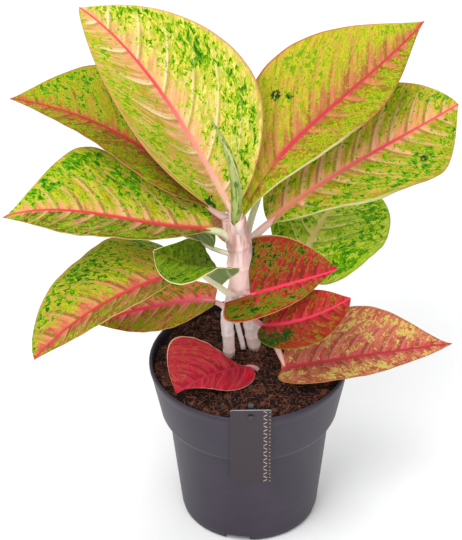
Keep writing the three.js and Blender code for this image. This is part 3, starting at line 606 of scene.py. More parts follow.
    # how thick the flecks lie: more towards the margin and in clusters about 17 mm across, fewer in
    # the blush and in a plain hem at the margin
    cluster = add(tree, "TexNoise", {"Vector": spot, "Scale": 1 / 17, "Detail": 2.0})
    crowd = add(tree, "MapRange", {0: cluster, 1: 0.36, 2: 0.62, 3: 0.6, 4: 1.15})
    outward = add(tree, "MapRange", {0: edge, 1: 0.05, 2: 0.65, 3: 0.45, 4: 1.0})
    ends = add(tree, "MapRange", {0: share, 3: look.ends[0], 4: look.ends[1]})
    hem = add(tree, "MapRange", {0: edge, 1: 0.88, 2: 0.95, 3: 1.0, 4: 0.35})
    keep = add(tree, "MapRange", {0: blush, 3: 1.0, 4: 0.6})
    thick = add(tree, "Math", {0: crowd, 1: outward}, operation="MULTIPLY")
    for share_left in (ends, hem, keep):
        thick = add(tree, "Math", {0: thick, 1: share_left}, operation="MULTIPLY")

    # the flecks: one noise whose higher steps are the rim, the body and the dark heart of each
    grit = add(tree, "TexNoise", {"Vector": fleck_place, "Scale": 1.2 / look.size, "Detail": 4.0,
                                  "Roughness": 0.72, "Distortion": 0.7})
    fleck_masks = []
    for amounts, sparse, dense, soft in ((look.greens, 0.61, 0.37, 0.05), (look.greens, 0.65, 0.43, 0.03),
                                         (look.deeps, 0.70, 0.50, 0.03)):
        side_amount = add(tree, "MapRange", {0: right, 3: amounts[0], 4: amounts[1]})
        amount = add(tree, "Math", {0: thick, 1: side_amount}, operation="MULTIPLY")
        start = add(tree, "MapRange", {0: amount, 3: sparse, 4: dense})
        end = add(tree, "Math", {0: start, 1: soft}, operation="ADD")
        fleck_masks.append(add(tree, "MapRange", {0: grit, 1: start, 2: end},
                               interpolation_type="SMOOTHSTEP"))
    halo_mask, green_mask, deep_mask = fleck_masks

    # the midrib, wide at the base, the thin pale margin, the paler edge where the margin rolls over,
    # and the painted shade that darkens a side at its base
    rib_edge = add(tree, "MapRange", {0: share, 3: look.width * 0.6, 4: 0.3})
    rib_end = add(tree, "Math", {0: rib_edge, 1: 3.2}, operation="MULTIPLY")
    rib_near = add(tree, "MapRange", {0: off, 1: rib_edge, 2: rib_end, 3: 1.0, 4: 0.0},
                   interpolation_type="SMOOTHSTEP")
    rib_mask = add(tree, "Math", {0: rib_near, 1: rib_from}, operation="MULTIPLY")
    rib_turn = add(tree, "MapRange", {0: share, 1: 0.1, 2: 0.6})
    rib_colour = add(tree, "Mix", {0: rib_turn, 6: linear(look.midrib[0]), 7: linear(look.midrib[1])},
                     output=2, data_type="RGBA")
    margin_mask = add(tree, "MapRange", {0: edge, 1: 0.965, 2: 0.99, 4: 0.9})
    roll_from = add(tree, "MapRange", {0: right, 3: 1.0 - look.rolled[0], 4: 1.0 - look.rolled[1]})
    roll_to = add(tree, "Math", {0: roll_from, 1: 0.02}, operation="ADD")
    roll_low = add(tree, "MapRange", {0: share, 1: 0.48, 2: 0.62, 3: 0.85, 4: 0.0})
    rolled_mask = add(tree, "MapRange", {0: edge, 1: roll_from, 2: roll_to, 4: roll_low})
    # painted shade: #3a2c0c laid over a side from its base, fading out towards the tip
    base_shade_side = add(tree, "MapRange", {0: right, 3: look.dusk[0], 4: look.dusk[1]})
    base_shade_mask = add(tree, "MapRange", {0: share, 1: 0.0, 2: 0.95, 3: base_shade_side, 4: 0.0})

    # the two sides' grounds differ partly in tone and partly as painted shade: the half that tilts away from
    # the light is darker
    skin = add(tree, "Mix", {0: right, 6: linear(look.ground[0]), 7: linear(look.ground[1])},
               output=2, data_type="RGBA")
    second = add(tree, "Mix", {0: right, 6: linear(look.second[0]), 7: linear(look.second[1])},
                 output=2, data_type="RGBA")
    layers = [(second, cloudy)]
    layers += [(linear(code), mask) for code, mask in (
        (look.green, mottled), (look.blush, blush), (look.vein, light_streak), (look.crease, dark_streak),
        (look.vein, band_mask), (look.crease, crease_shade_mask), (look.vein, fine_mask), (look.halo, halo_mask),
        (look.green, green_mask), (look.vein, line_mask), (look.deep, deep_mask), ("#3a2c0c", base_shade_mask))]

    # dark blotches with ragged edges, broken up by specks about 1.5 mm across that let the skin show
    specks = add(tree, "TexNoise", {"Vector": spot, "Scale": 1 / 1.5, "Detail": 2.0})
    speck_mask = add(tree, "MapRange", {0: specks, 1: 0.52, 2: 0.6, 3: 1.0, 4: 0.1})
    for patch_along, patch_across, radius in look.patches:
        gap = add(tree, "VectorMath", {0: spot, 1: (patch_along, patch_across, seed)},
                  output=1, operation="DISTANCE")
        ragged = add(tree, "Math", {0: grit, 1: radius * 2.6, 2: gap}, operation="MULTIPLY_ADD")
        inside = add(tree, "MapRange", {0: ragged, 1: radius * 2.0, 2: radius * 2.25, 3: 1.0, 4: 0.0})
        mask = add(tree, "Math", {0: inside, 1: speck_mask}, operation="MULTIPLY")
        layers.append((linear("#12400f"), mask))
    layers += [(rib_colour, rib_mask), (linear(look.margin), margin_mask), (linear("#bcbc80"), rolled_mask)]
    for colour, mask in layers:
        skin = add(tree, "Mix", {0: mask, 6: skin, 7: colour}, output=2, data_type="RGBA")

    # cross veins and pores, a few hundredths of a millimetre deep, drawn coarser to show
    pores = add(tree, "TexNoise", {"Vector": fleck_place, "Scale": 1 / 1.6, "Detail": 3.0})
    relief = add(tree, "Math", {0: fine_mask, 1: -1.5, 2: pores}, operation="MULTIPLY_ADD")
    bump = add(tree, "Bump", {"Height": relief, "Distance": 0.001, "Strength": 0.6})
    gloss = add(tree, "MapRange", {0: mottle, 1: 0.35, 2: 0.65, 3: 0.36, 4: 0.52})
    shader = add(tree, "BsdfPrincipled",
                 {"Base Color": skin, "Roughness": gloss, "Specular IOR Level": 0.06, "Normal": bump})
    add(tree, "OutputMaterial", {"Surface": shader})
    return material


def leaf_under(leaf, number):
    # Leaf underside: duller and paler than the top, greyed green or pink, with raised pale veins.
    material, tree = new_material("leaf underside " + leaf["name"])
    look = leaf["look"]
    across, vein, edge = (add(tree, "Attribute", output=2, attribute_name=name)
                          for name in ("across_mm", "vein_mm", "edge"))
    off = add(tree, "Math", {0: across}, operation="ABSOLUTE")
    place = add(tree, "CombineXYZ", {0: vein, 1: across, 2: 5.0 * number})
    # mottling about 3.5 mm across
    noise = add(tree, "TexNoise", {"Vector": place, "Scale": 1 / 3.5, "Detail": 4.0, "Roughness": 0.65})
    mottle = add(tree, "MapRange", {0: noise, 1: 0.46, 2: 0.58, 4: 0.8})
    line = add(tree, "Math", {0: vein, 1: leaf["spacing"] / 2}, operation="PINGPONG")
    line_mask = add(tree, "MapRange", {0: line, 1: 0.2, 2: 1.1, 3: 0.4, 4: 0.0})
    rib_mask = add(tree, "MapRange", {0: off, 1: 1.3, 2: 2.1, 3: 1.0, 4: 0.0})
    margin_mask = add(tree, "MapRange", {0: edge, 1: 0.965, 2: 0.99, 4: 0.9})
    skin = add(tree, "Mix", {0: 0.3, 6: linear(look.ground[1]), 7: linear("#a8ac80")},
               output=2, data_type="RGBA")
    greyed = add(tree, "Mix", {0: 0.3, 6: linear(look.green), 7: linear("#93a070")},
                 output=2, data_type="RGBA")
    for colour, mask in ((greyed, mottle), (linear("#c2bc92"), line_mask), (linear("#e2ccb8"), rib_mask),
                         (linear(look.margin), margin_mask)):
        skin = add(tree, "Mix", {0: mask, 6: skin, 7: colour}, output=2, data_type="RGBA")
    bump = add(tree, "Bump", {"Height": line_mask, "Distance": 0.0005, "Strength": 0.5})
    shader = add(tree, "BsdfPrincipled",
                 {"Base Color": skin, "Roughness": 0.55, "Specular IOR Level": 0.25, "Normal": bump})
    add(tree, "OutputMaterial", {"Surface": shader})
    return material


def stalk_skin(name, low, high):
    # Leaf stalk: smooth living skin, pinkish white low down and tinted where it meets the blade.
    material, tree = new_material("leaf stalk skin " + name)
    share = add(tree, "Attribute", output=2, attribute_name="share")
    place = add(tree, "TexCoord", output=3)
    # streaks about 2 mm wide and 13 mm long
    drawn = add(tree, "Mapping", {"Vector": place, "Scale": (1.0, 1.0, 0.15)})
    noise = add(tree, "TexNoise", {"Vector": drawn, "Scale": 500.0, "Detail": 3.0})
    turn = add(tree, "Math", {0: noise, 1: 0.5, 2: share}, operation="MULTIPLY_ADD")
    mask = add(tree, "MapRange", {0: turn, 1: 0.45, 2: 1.2}, interpolation_type="SMOOTHSTEP")
    skin = add(tree, "Mix", {0: mask, 6: linear(low), 7: linear(high)}, output=2, data_type="RGBA")
    bump = add(tree, "Bump", {"Height": noise, "Distance": 0.0003, "Strength": 0.3})
    shader = add(tree, "BsdfPrincipled",
                 {"Base Color": skin, "Roughness": 0.42, "Specular IOR Level": 0.35,
                  "Subsurface Weight": 0.08, "Subsurface Scale": 0.004, "Normal": bump})
    add(tree, "OutputMaterial", {"Surface": shader})
    return material


GREEN_STALK = stalk_skin("green", "#eadccf", "#c9d49a")
PINK_STALK = stalk_skin("pink", "#f0e2da", "#e7b3a6")
RED_STALK = stalk_skin("red", "#f0e2da", "#dd6f82")
STALKS = dict(leaf_lime=PINK_STALK, leaf_green=GREEN_STALK, leaf_pink=PINK_STALK, leaf_red=RED_STALK)


def make_leaf(leaf, number):
    points, faces, slots, fields = blade(leaf)
    stalk_points, stalk_faces, stalk_share = stalk(leaf)
    faces = faces + [tuple(i + len(points) for i in f) for f in stalk_faces]
    slots = slots + [2] * len(stalk_faces)
    for name in fields:
        fields[name] = np.concatenate([fields[name], stalk_share if name == "share" else 0 * stalk_share])
    skins = [leaf_skin(leaf, number), leaf_under(leaf, number), STALKS[leaf["slot"]]]
    piece = new_piece(leaf["name"] + "_fine", np.vstack([points, stalk_points]), faces, skins, slots, fields)
    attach(piece, "root")
    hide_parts(leaf["name"])


for number, leaf in enumerate(LEAVES, 1):
    make_leaf(leaf, number)

# The dry sheath of an old leaf, a small stiff flap at the left of the stem under the crown

SHEATH = dict(name="dry_sheath", veins=((0.1, 0.1), (0.1, 0.1)), spacing=3, quilt=0.2,
              midrib=[(-8, 12, 217), (-13, 16, 225), (-19, 18, 233), (-26, 17, 240)],
              face=[(-0.1, -0.8, 0.6), (-0.1, -0.7, 0.7)],
              left=Side(8, 0.45, 0.5, 0.7, 8, 12),
              right=Side(7, 0.55, 0.5, 0.8, 8, 12),
              # its colours are lighter than a dry sheath's own, as painted light against the shade it lies
              # in under the crown
              look=Look(("#ff8c70", "#ff8468"), ("#ffd090", "#ffb07c"), "#f4605c", (4, 4), "#d8c070",
                        "#b89040", (0.4, 0.4), "#7a4a24", (0.2, 0.2), "#f0c8a0", 0.5, 0.3, "#d86448",
                        ("#e86a5c", "#f08a6c"), 0.5, "#e8c090", size=2.2, mottle=0.1, streaks=0.6))


def make_sheath():
    points, faces, slots, fields = blade(SHEATH, rows=44, columns=10)
    number = len(LEAVES) + 1
    skins = [leaf_skin(SHEATH, number), leaf_under(SHEATH, number)]
    piece = new_piece("dry_sheath", points, faces, skins, slots, fields)
    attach(piece, "root")


make_sheath()

# The furled new leaf: a slim roll whose outer edge winds up it

SPIKE_PATH = [(-9, 3, 236), (-8.4, -4, 253), (-8.2, -4, 272), (-10.8, -3, 291), (-14.7, -1, 304),
              (-19.2, 1, 314), (-23.4, 3, 322)]
SPIKE_RADII = [2.6, 3.4, 3.7, 3.2, 2.4, 1.5, 0.4]


def spike_skin():
    # Rolled young leaf: pale waxy green with darker flecks in rows, lighter along the free edge.
    material, tree = new_material("furled young leaf skin")
    along = add(tree, "Attribute", output=2, attribute_name="along_mm")
    turn = add(tree, "Attribute", output=2, attribute_name="turn")
    place = add(tree, "TexCoord", output=3)
    # flecks about 2.5 mm wide and 8 mm long
    drawn = add(tree, "Mapping", {"Vector": place, "Scale": (1.0, 1.0, 0.3)})
    noise = add(tree, "TexNoise", {"Vector": drawn, "Scale": 400.0, "Detail": 3.0})
    mottle = add(tree, "MapRange", {0: noise, 1: 0.46, 2: 0.58})
    dark = add(tree, "MapRange", {0: noise, 1: 0.58, 2: 0.64})
    tip = add(tree, "MapRange", {0: along, 1: 60.0, 2: 90.0, 4: 0.6})
    edge = add(tree, "MapRange", {0: turn, 1: 0.0, 2: 0.08, 3: 1.0, 4: 0.0})
    skin = linear("#a3ad62")
    for colour, mask in (("#6e8a34", mottle), ("#3f6a20", dark), ("#5a7a28", tip), ("#d6cc98", edge)):
        skin = add(tree, "Mix", {0: mask, 6: skin, 7: linear(colour)}, output=2, data_type="RGBA")
    shader = add(tree, "BsdfPrincipled", {"Base Color": skin, "Roughness": 0.45, "Specular IOR Level": 0.25})
    add(tree, "OutputMaterial", {"Surface": shader})
    return material


def make_spike():
    """The furled leaf: its radius steps by a sixth at the free edge, which winds half way round it."""
    steps, sides = 90, 40
    path = smooth_path(SPIKE_PATH, steps)
    u = np.linspace(0, 1, steps + 1)
    radius = np.interp(u * (len(SPIKE_RADII) - 1), range(len(SPIKE_RADII)), SPIKE_RADII)
    turn = (np.arange(sides)[None, :] / sides + 0.35 + 0.55 * u[:, None]) % 1.0
    radii = radius[:, None] * (0.88 + 0.16 * (1 - turn))
    points, faces = tube(path, radii, sides)
    fields = dict(along_mm=np.concatenate([np.repeat(SPIKE_LENGTH * u, sides), [0, SPIKE_LENGTH]]),
                  turn=np.concatenate([turn.ravel(), [0.5, 0.5]]))
    piece = new_piece("leaf_spike_fine", points, faces, [spike_skin()], None, fields)
    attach(piece, "root")
    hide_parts("leaf_spike")


make_spike()

# Stems

# The left cane, the right one, the thin one between them, and the column above them
CANES = [
    dict(path=[(-14, 9, 100), (-13.8, 9, 121), (-14.2, 9, 138), (-15, 8, 156), (-11, 6, 178), (-7, 5, 200)],
         radii=[3.8, 4, 4.2, 4.6, 4.6, 4.6]),
    dict(path=[(5, 18, 100), (4.4, 18, 120), (3, 16.5, 132), (0.8, 14, 151), (-1.5, 9, 170), (-3, 6, 186)],
         radii=[3.8, 4, 4.8, 5.2, 6, 6.6]),
    dict(path=[(-3, 15, 102), (-3.8, 14.5, 124), (-6.4, 13, 140), (-8.6, 11, 153), (-10, 8, 168)],
         radii=[1.9, 1.9, 1.9, 1.9, 2.4]),
    dict(path=[(-2, 7, 166), (-2.6, 6, 182), (-5.2, 5, 204), (-5.6, 5, 217), (-8.5, 5, 231), (-10, 6, 243)],
         radii=[7, 10, 9.6, 8.6, 8.6, 8.4]),
]
# Heights of the rings that old leaves left, for each of them
NODE_RINGS = [(128, 143, 160), (127, 136, 146), (), (190, 206, 222)]


def stem_skin():
    # Fleshy cane skin: pinkish white and slightly glossy, made lighter than its own colour as painted
    # light against the shade of the leaves above, faintly streaked upwards, flushed pink above the fork,
    # rosy brown where the leaf sheaths fold over each other at the top, partly their colour and partly
    # painted shade, with a brown tinge where it enters the soil.
    material, tree = new_material("fleshy cane skin")
    place = add(tree, "TexCoord", output=3)
    # streaks about 2.5 mm wide and 20 mm long, and clouds about 11 mm across
    drawn = add(tree, "Mapping", {"Vector": place, "Scale": (1.0, 1.0, 0.12)})
    streak = add(tree, "TexNoise", {"Vector": drawn, "Scale": 400.0, "Detail": 4.0})
    cloud = add(tree, "TexNoise", {"Vector": place, "Scale": 90.0, "Detail": 3.0})
    height = add(tree, "SeparateXYZ", {0: place}, output=2)
    pink = add(tree, "MapRange", {0: streak, 1: 0.42, 2: 0.6, 4: 0.6})
    warm = add(tree, "MapRange", {0: cloud, 1: 0.48, 2: 0.66, 4: 0.45})
    upper = add(tree, "MapRange", {0: height, 1: 0.2, 2: 0.222})
    # rosy brown above about 200 mm, partly the sheaths' own colour and partly painted shade where they fold
    # over each other
    sheath = add(tree, "MapRange", {0: streak, 1: 0.38, 2: 0.56})
    rosy_and_fold_shade = add(tree, "Math", {0: upper, 1: sheath}, operation="MULTIPLY")
    flush = add(tree, "MapRange", {0: height, 1: 0.15, 2: 0.185, 4: 0.75})
    foot = add(tree, "MapRange", {0: height, 1: 0.1235, 2: 0.129, 3: 0.7, 4: 0.0})
    # painted light: the near white ground and the pale pinks over it are lighter than the cane's own colour,
    # against the shade of the leaves above
    skin = linear("#fff6f2")
    for colour, mask in (("#fcccc6", pink), ("#f4c2b8", warm), ("#e8c2ba", flush), ("#cc9c92", rosy_and_fold_shade),
                         ("#b08c70", foot)):
        skin = add(tree, "Mix", {0: mask, 6: skin, 7: linear(colour)}, output=2, data_type="RGBA")
    bump = add(tree, "Bump", {"Height": streak, "Distance": 0.0006, "Strength": 0.25})
    shader = add(tree, "BsdfPrincipled",
                 {"Base Color": skin, "Roughness": 0.4, "Specular IOR Level": 0.4, "Subsurface Weight": 0.15,
                  "Subsurface Scale": 0.004, "Normal": bump})
    add(tree, "OutputMaterial", {"Surface": shader})
    return material


def make_stems():
    """The canes and the column with their leaf rings, fused where they grow out of each other."""
    all_points, all_faces = [], []
    count = 0
    for cane, rings in zip(CANES, NODE_RINGS):
        steps, sides = 80, 32
        path = smooth_path(cane["path"], steps)
        u = np.linspace(0, len(cane["radii"]) - 1, steps + 1)
        radius = np.interp(u, range(len(cane["radii"])), cane["radii"])
        for z in rings:
            radius = radius + RING_HEIGHT * np.exp(-(((path[:, 2] - z) / RING_WIDTH) ** 2))
        points, faces = tube(path, radius, sides)
        all_points.append(points)
        all_faces += [tuple(i + count for i in f) for f in faces]
        count += len(points)
    piece = new_piece("stems_fine", np.vstack(all_points), all_faces, [stem_skin()])
    remesh = piece.modifiers.new("fused", "REMESH")
    remesh.mode = "VOXEL"
    remesh.voxel_size = STEM_GRID * MM
    remesh.use_smooth_shade = True
    soften = piece.modifiers.new("soft", "SMOOTH")
    soften.iterations = 4
    plain_mesh(piece)
    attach(piece, "root")
    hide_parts("stems")


make_stems()

# Pot


def turned_faces(rows, segments):
    """Faces of a shape turned about the Z axis: a point on the axis, rings of points, another."""
    faces = []
    for j in range(segments):
        n = (j + 1) % segments
        faces.append((0, 1 + n, 1 + j))
        for k in range(rows - 1):
            a = 1 + k * segments
            faces.append((a + j, a + n, a + segments + n, a + segments + j))
        a = 1 + (rows - 1) * segments
        faces.append((a + j, a + n, a + segments))
    return faces


def turned(profile, segments=168):
    """Points and faces of a shape turned about the Z axis, from a profile that ends on the axis."""
    angle = np.arange(segments) * 2 * np.pi / segments
    points = [(0, 0, profile[0][1])]
    for radius, z in profile[1:-1]:
        points += [(radius * math.cos(a), radius * math.sin(a), z) for a in angle]
    points.append((0, 0, profile[-1][1]))
    return points, turned_faces(len(profile) - 2, segments)


def rounded(profile, size):
    """A profile with each inner corner cut back by size and bent round it in three steps."""
    out = [profile[0]]
    for before, corner, after in zip(profile, profile[1:], profile[2:]):
        p, q, r = (np.array(v, float) for v in (before, corner, after))
        a = q + (p - q) * min(size / np.linalg.norm(p - q), 0.45)
        b = q + (r - q) * min(size / np.linalg.norm(r - q), 0.45)
        for u in (0, 1 / 3, 2 / 3, 1):
            out.append(tuple((1 - u) ** 2 * a + 2 * u * (1 - u) * q + u ** 2 * b))
    out.append(profile[-1])
    return out


# The pot's wall as (radius, z), up its outside and down its inside
POT_OUTSIDE = [
    (BASE_RADIUS, 0), (BODY_FOOT_RADIUS - 1, 1.8), (BODY_FOOT_RADIUS, BODY_FOOT_Z),
    (BODY_TOP_RADIUS, BODY_TOP_Z), (BODY_TOP_RADIUS + 3.8, BODY_TOP_Z + 2),
    (COLLAR_FOOT_RADIUS, COLLAR_FOOT_Z), (RIM_RADIUS - 1.4, POT_HEIGHT - 8),
    (RIM_RADIUS, POT_HEIGHT - RIM_BAND), (RIM_RADIUS, POT_HEIGHT - 1), (RIM_RADIUS - 0.7, POT_HEIGHT),
]
POT_INSIDE = [
    (RIM_RADIUS - 1.8, POT_HEIGHT), (RIM_RADIUS - 2.4, POT_HEIGHT - 1), (RIM_RADIUS - 3, POT_HEIGHT - 8),
    (COLLAR_FOOT_RADIUS - POT_WALL, COLLAR_FOOT_Z + 0.6),
    (BODY_TOP_RADIUS - POT_WALL + 3.2, BODY_TOP_Z + 3.6), (BODY_TOP_RADIUS - POT_WALL, BODY_TOP_Z + 1.4),
    (BODY_FOOT_RADIUS - POT_WALL, BODY_FOOT_Z), (BASE_RADIUS - 0.4, POT_WALL),
]


def pot_plastic():
    # Moulded polypropylene: anthracite, matt with a fine even grain, with soft dusty clouds and
    # faint grey scuffs round it where pots stand in each other.
    material, tree = new_material("moulded polypropylene")
    place = add(tree, "TexCoord", output=3)
    # grain about 0.5 mm, clouds about 36 mm, scuffs about 1 mm high and 50 mm long
    grain = add(tree, "TexNoise", {"Vector": place, "Scale": 2000.0, "Detail": 2.0})
    cloud = add(tree, "TexNoise", {"Vector": place, "Scale": 28.0, "Detail": 4.0, "Roughness": 0.6})
    rings = add(tree, "Mapping", {"Vector": place, "Scale": (20.0, 20.0, 900.0)})
    rub = add(tree, "TexNoise", {"Vector": rings, "Scale": 1.0, "Detail": 3.0})
    dusty = add(tree, "MapRange", {0: cloud, 1: 0.4, 2: 0.7, 4: 0.6})
    scuff = add(tree, "MapRange", {0: rub, 1: 0.58, 2: 0.74, 4: 0.22})
    speck = add(tree, "MapRange", {0: grain, 1: 0.6, 2: 0.75, 4: 0.25})
    skin = linear("#2f2835")
    for colour, mask in (("#3a323e", dusty), ("#524c56", scuff), ("#4c4652", speck)):
        skin = add(tree, "Mix", {0: mask, 6: skin, 7: linear(colour)}, output=2, data_type="RGBA")
    bump = add(tree, "Bump", {"Height": grain, "Distance": 0.0001, "Strength": 0.5})
    shader = add(tree, "BsdfPrincipled",
                 {"Base Color": skin, "Roughness": 0.48, "IOR": 1.49, "Specular IOR Level": 0.35,
                  "Normal": bump})
    add(tree, "OutputMaterial", {"Surface": shader})
    return material


def box_piece(name, low, high, turn):
    corners = [(x, y, z) for x in (low[0], high[0]) for y in (low[1], high[1]) for z in (low[2], high[2])]
    c, s = math.cos(turn), math.sin(turn)
    corners = [(x * c - y * s, x * s + y * c, z) for x, y, z in corners]
    faces = [(0, 1, 3, 2), (4, 6, 7, 5), (0, 4, 5, 1), (2, 3, 7, 6), (0, 2, 6, 4), (1, 5, 7, 3)]
    return new_piece(name, corners, faces, [], flat=True)


def combine(piece, operation, other):
    """Adds a modifier that joins, cuts or trims a piece by another."""
    change = piece.modifiers.new(operation, "BOOLEAN")
    change.operation = operation
    change.solver = "MANIFOLD"
    change.object = other


def make_pot():
    """The thin-walled pot with four pockets moulded into its foot, open at the side and drained above."""
    profile = [(0, 0), *POT_OUTSIDE, *POT_INSIDE, (0, POT_WALL)]
    piece = new_piece("pot_fine", *turned(rounded(profile, POT_CORNER)), [pot_plastic()])
    filled = [(0, 0), *POT_OUTSIDE, (0, POT_HEIGHT)]
    outside = new_piece("outside", *turned(rounded(filled, POT_CORNER)), [])
    helpers = [outside]
    inner, outer = BASE_RADIUS - NOTCH_DEPTH, BASE_RADIUS + 16
    half = NOTCH_WIDTH / 2
    middle = BASE_RADIUS - 0.6 * NOTCH_DEPTH
    for i in range(4):
        turn = math.radians(NOTCH_TURN + 90 * i)
        block = box_piece("pocket", (inner - POT_WALL, -half - POT_WALL, 0.4),
                          (outer, half + POT_WALL, NOTCH_HEIGHT + POT_WALL), turn)
        combine(block, "INTERSECT", outside)
        plain_mesh(block)
        notch = box_piece("notch", (inner, -half, -5), (outer, half, NOTCH_HEIGHT), turn)
        ends = [(middle * math.cos(turn), middle * math.sin(turn), z) for z in (1, 9)]
        drain = new_piece("drain", *tube(ends, [DRAIN_RADIUS, DRAIN_RADIUS], 24), [], flat=True)
        for helper, operation in ((block, "UNION"), (notch, "DIFFERENCE"), (drain, "DIFFERENCE")):
            combine(piece, operation, helper)
            helpers.append(helper)
    plain_mesh(piece)
    for helper in helpers:
        bpy.data.objects.remove(helper)
    piece.data.shade_smooth()
    piece.data.set_sharp_from_angle(angle=POT_SHARP)
    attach(piece, "root")
    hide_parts("pot")


make_pot()

# Soil


def soil_height(x, y):
    heap = SOIL_HEAP * (1 - (x * x + y * y) / RIM_RADIUS ** 2)
    coarse = np.sin(x / 7 + 1) * np.cos(y / 6 + 0.5)
    fine = 0.7 * np.sin(x / 3.1 + y / 4.3)
    return SOIL_Z + heap + SOIL_BUMP * (coarse + fine)


def mix_skin(name, dark, light):
    # Damp potting mix of bark, peat and coir: matt, near black in its hollows and red-brown on the
    # lumps. Each grain has a shade of its own, and a mottling about 2.5 mm across.
    material, tree = new_material(name)
    shade = add(tree, "Attribute", output=2, attribute_name="shade")
    place = add(tree, "TexCoord", output=3)
    noise = add(tree, "TexNoise", {"Vector": place, "Scale": 400.0, "Detail": 5.0, "Roughness": 0.7})
    blend = add(tree, "Math", {0: noise, 1: 0.6, 2: shade}, operation="MULTIPLY_ADD")
    mask = add(tree, "MapRange", {0: blend, 1: 0.3, 2: 1.25})
    skin = add(tree, "Mix", {0: mask, 6: linear(dark), 7: linear(light)}, output=2, data_type="RGBA")
    bump = add(tree, "Bump", {"Height": noise, "Distance": 0.001, "Strength": 0.8})
    shader = add(tree, "BsdfPrincipled",
                 {"Base Color": skin, "Roughness": 0.85, "Specular IOR Level": 0.25, "Normal": bump})
    add(tree, "OutputMaterial", {"Surface": shader})
    return material


def lay(tree, points, shape, turn, size, seed):
    """Lays a shape on each point, turned and sized, with a shade of its own from 0 to 1."""
    laid = add(tree, "GeometryNodeInstanceOnPoints",
               {"Points": points, "Instance": shape, "Rotation": turn, "Scale": size})
    shade = add(tree, "FunctionNodeRandomValue", {2: 0.0, 3: 1.0, "Seed": seed}, output=1)
    return add(tree, "GeometryNodeStoreNamedAttribute", {"Geometry": laid, "Name": "shade", "Value": shade},
               data_type="FLOAT", domain="INSTANCE")


def grains_tree():
    """Scatters rough lumps on a surface, each turned and sized at random, most of them small."""
    tree, given = new_tree("potting mix grains", {
        "Grains per square metre": "Float", "Smallest": "Float", "Largest": "Float", "Roundness": "Int",
        "Stretch": "Vector", "Seed": "Int", "Material": "Material"})
    points = add(tree, "GeometryNodeDistributePointsOnFaces",
                 {"Mesh": given["Geometry"], "Density": given["Grains per square metre"],
                  "Seed": given["Seed"]})
    lump = add(tree, "GeometryNodeMeshIcoSphere", {"Radius": 1.0, "Subdivisions": given["Roundness"]})
    rough = add(tree, "TexNoise", {"Scale": 1.1, "Detail": 2.0}, output=1)
    push = add(tree, "VectorMath", {0: rough, 1: (0.5, 0.5, 0.5)}, operation="SUBTRACT")
    push = add(tree, "VectorMath", {0: push, "Scale": 1.6}, operation="SCALE")
    lump = add(tree, "GeometryNodeSetPosition", {"Geometry": lump, "Offset": push})
    lump = add(tree, "GeometryNodeTransform", {"Geometry": lump, "Scale": given["Stretch"]})
    turn = add(tree, "FunctionNodeRandomValue", {0: (0, 0, 0), 1: (6.28, 6.28, 6.28), "Seed": 3},
               data_type="FLOAT_VECTOR")
    size = add(tree, "FunctionNodeRandomValue", {2: 0.0, 3: 1.0, "Seed": 4}, output=1)
    size = add(tree, "Math", {0: size, 1: 2.2}, operation="POWER")
    size = add(tree, "MapRange", {0: size, 3: given["Smallest"], 4: given["Largest"]})
    return end_tree(tree, lay(tree, points, lump, turn, size, 5), given["Material"])


def fibres_tree():
    """Scatters thin bent fibres on a surface, each lying a different way."""
    tree, given = new_tree("coir fibres", {
        "Fibres per square metre": "Float", "Length": "Float", "Thickness": "Float", "Seed": "Int",
        "Material": "Material"})
    points = add(tree, "GeometryNodeDistributePointsOnFaces",
                 {"Mesh": given["Geometry"], "Density": given["Fibres per square metre"],
                  "Seed": given["Seed"]})
    half = add(tree, "Math", {0: given["Length"], 1: 0.5}, operation="MULTIPLY")
    lift = add(tree, "Math", {0: given["Length"], 1: 0.22}, operation="MULTIPLY")
    minus = add(tree, "Math", {0: half, 1: -1.0}, operation="MULTIPLY")
    start = add(tree, "CombineXYZ", {0: minus})
    middle = add(tree, "CombineXYZ", {1: lift, 2: lift})
    end = add(tree, "CombineXYZ", {0: half})
    bend = add(tree, "GeometryNodeCurveQuadraticBezier",
               {"Resolution": 7, "Start": start, "Middle": middle, "End": end})
    ring = add(tree, "GeometryNodeCurvePrimitiveCircle", {"Resolution": 4, "Radius": given["Thickness"]})
    fibre = add(tree, "GeometryNodeCurveToMesh", {"Curve": bend, "Profile Curve": ring, "Fill Caps": True})
    turn = add(tree, "FunctionNodeRandomValue", {0: (-0.5, -0.5, 0), 1: (0.5, 0.5, 6.28), "Seed": 8},
               data_type="FLOAT_VECTOR")
    size = add(tree, "FunctionNodeRandomValue", {2: 0.5, 3: 1.4, "Seed": 9}, output=1)
    return end_tree(tree, lay(tree, points, fibre, turn, size, 10), given["Material"])


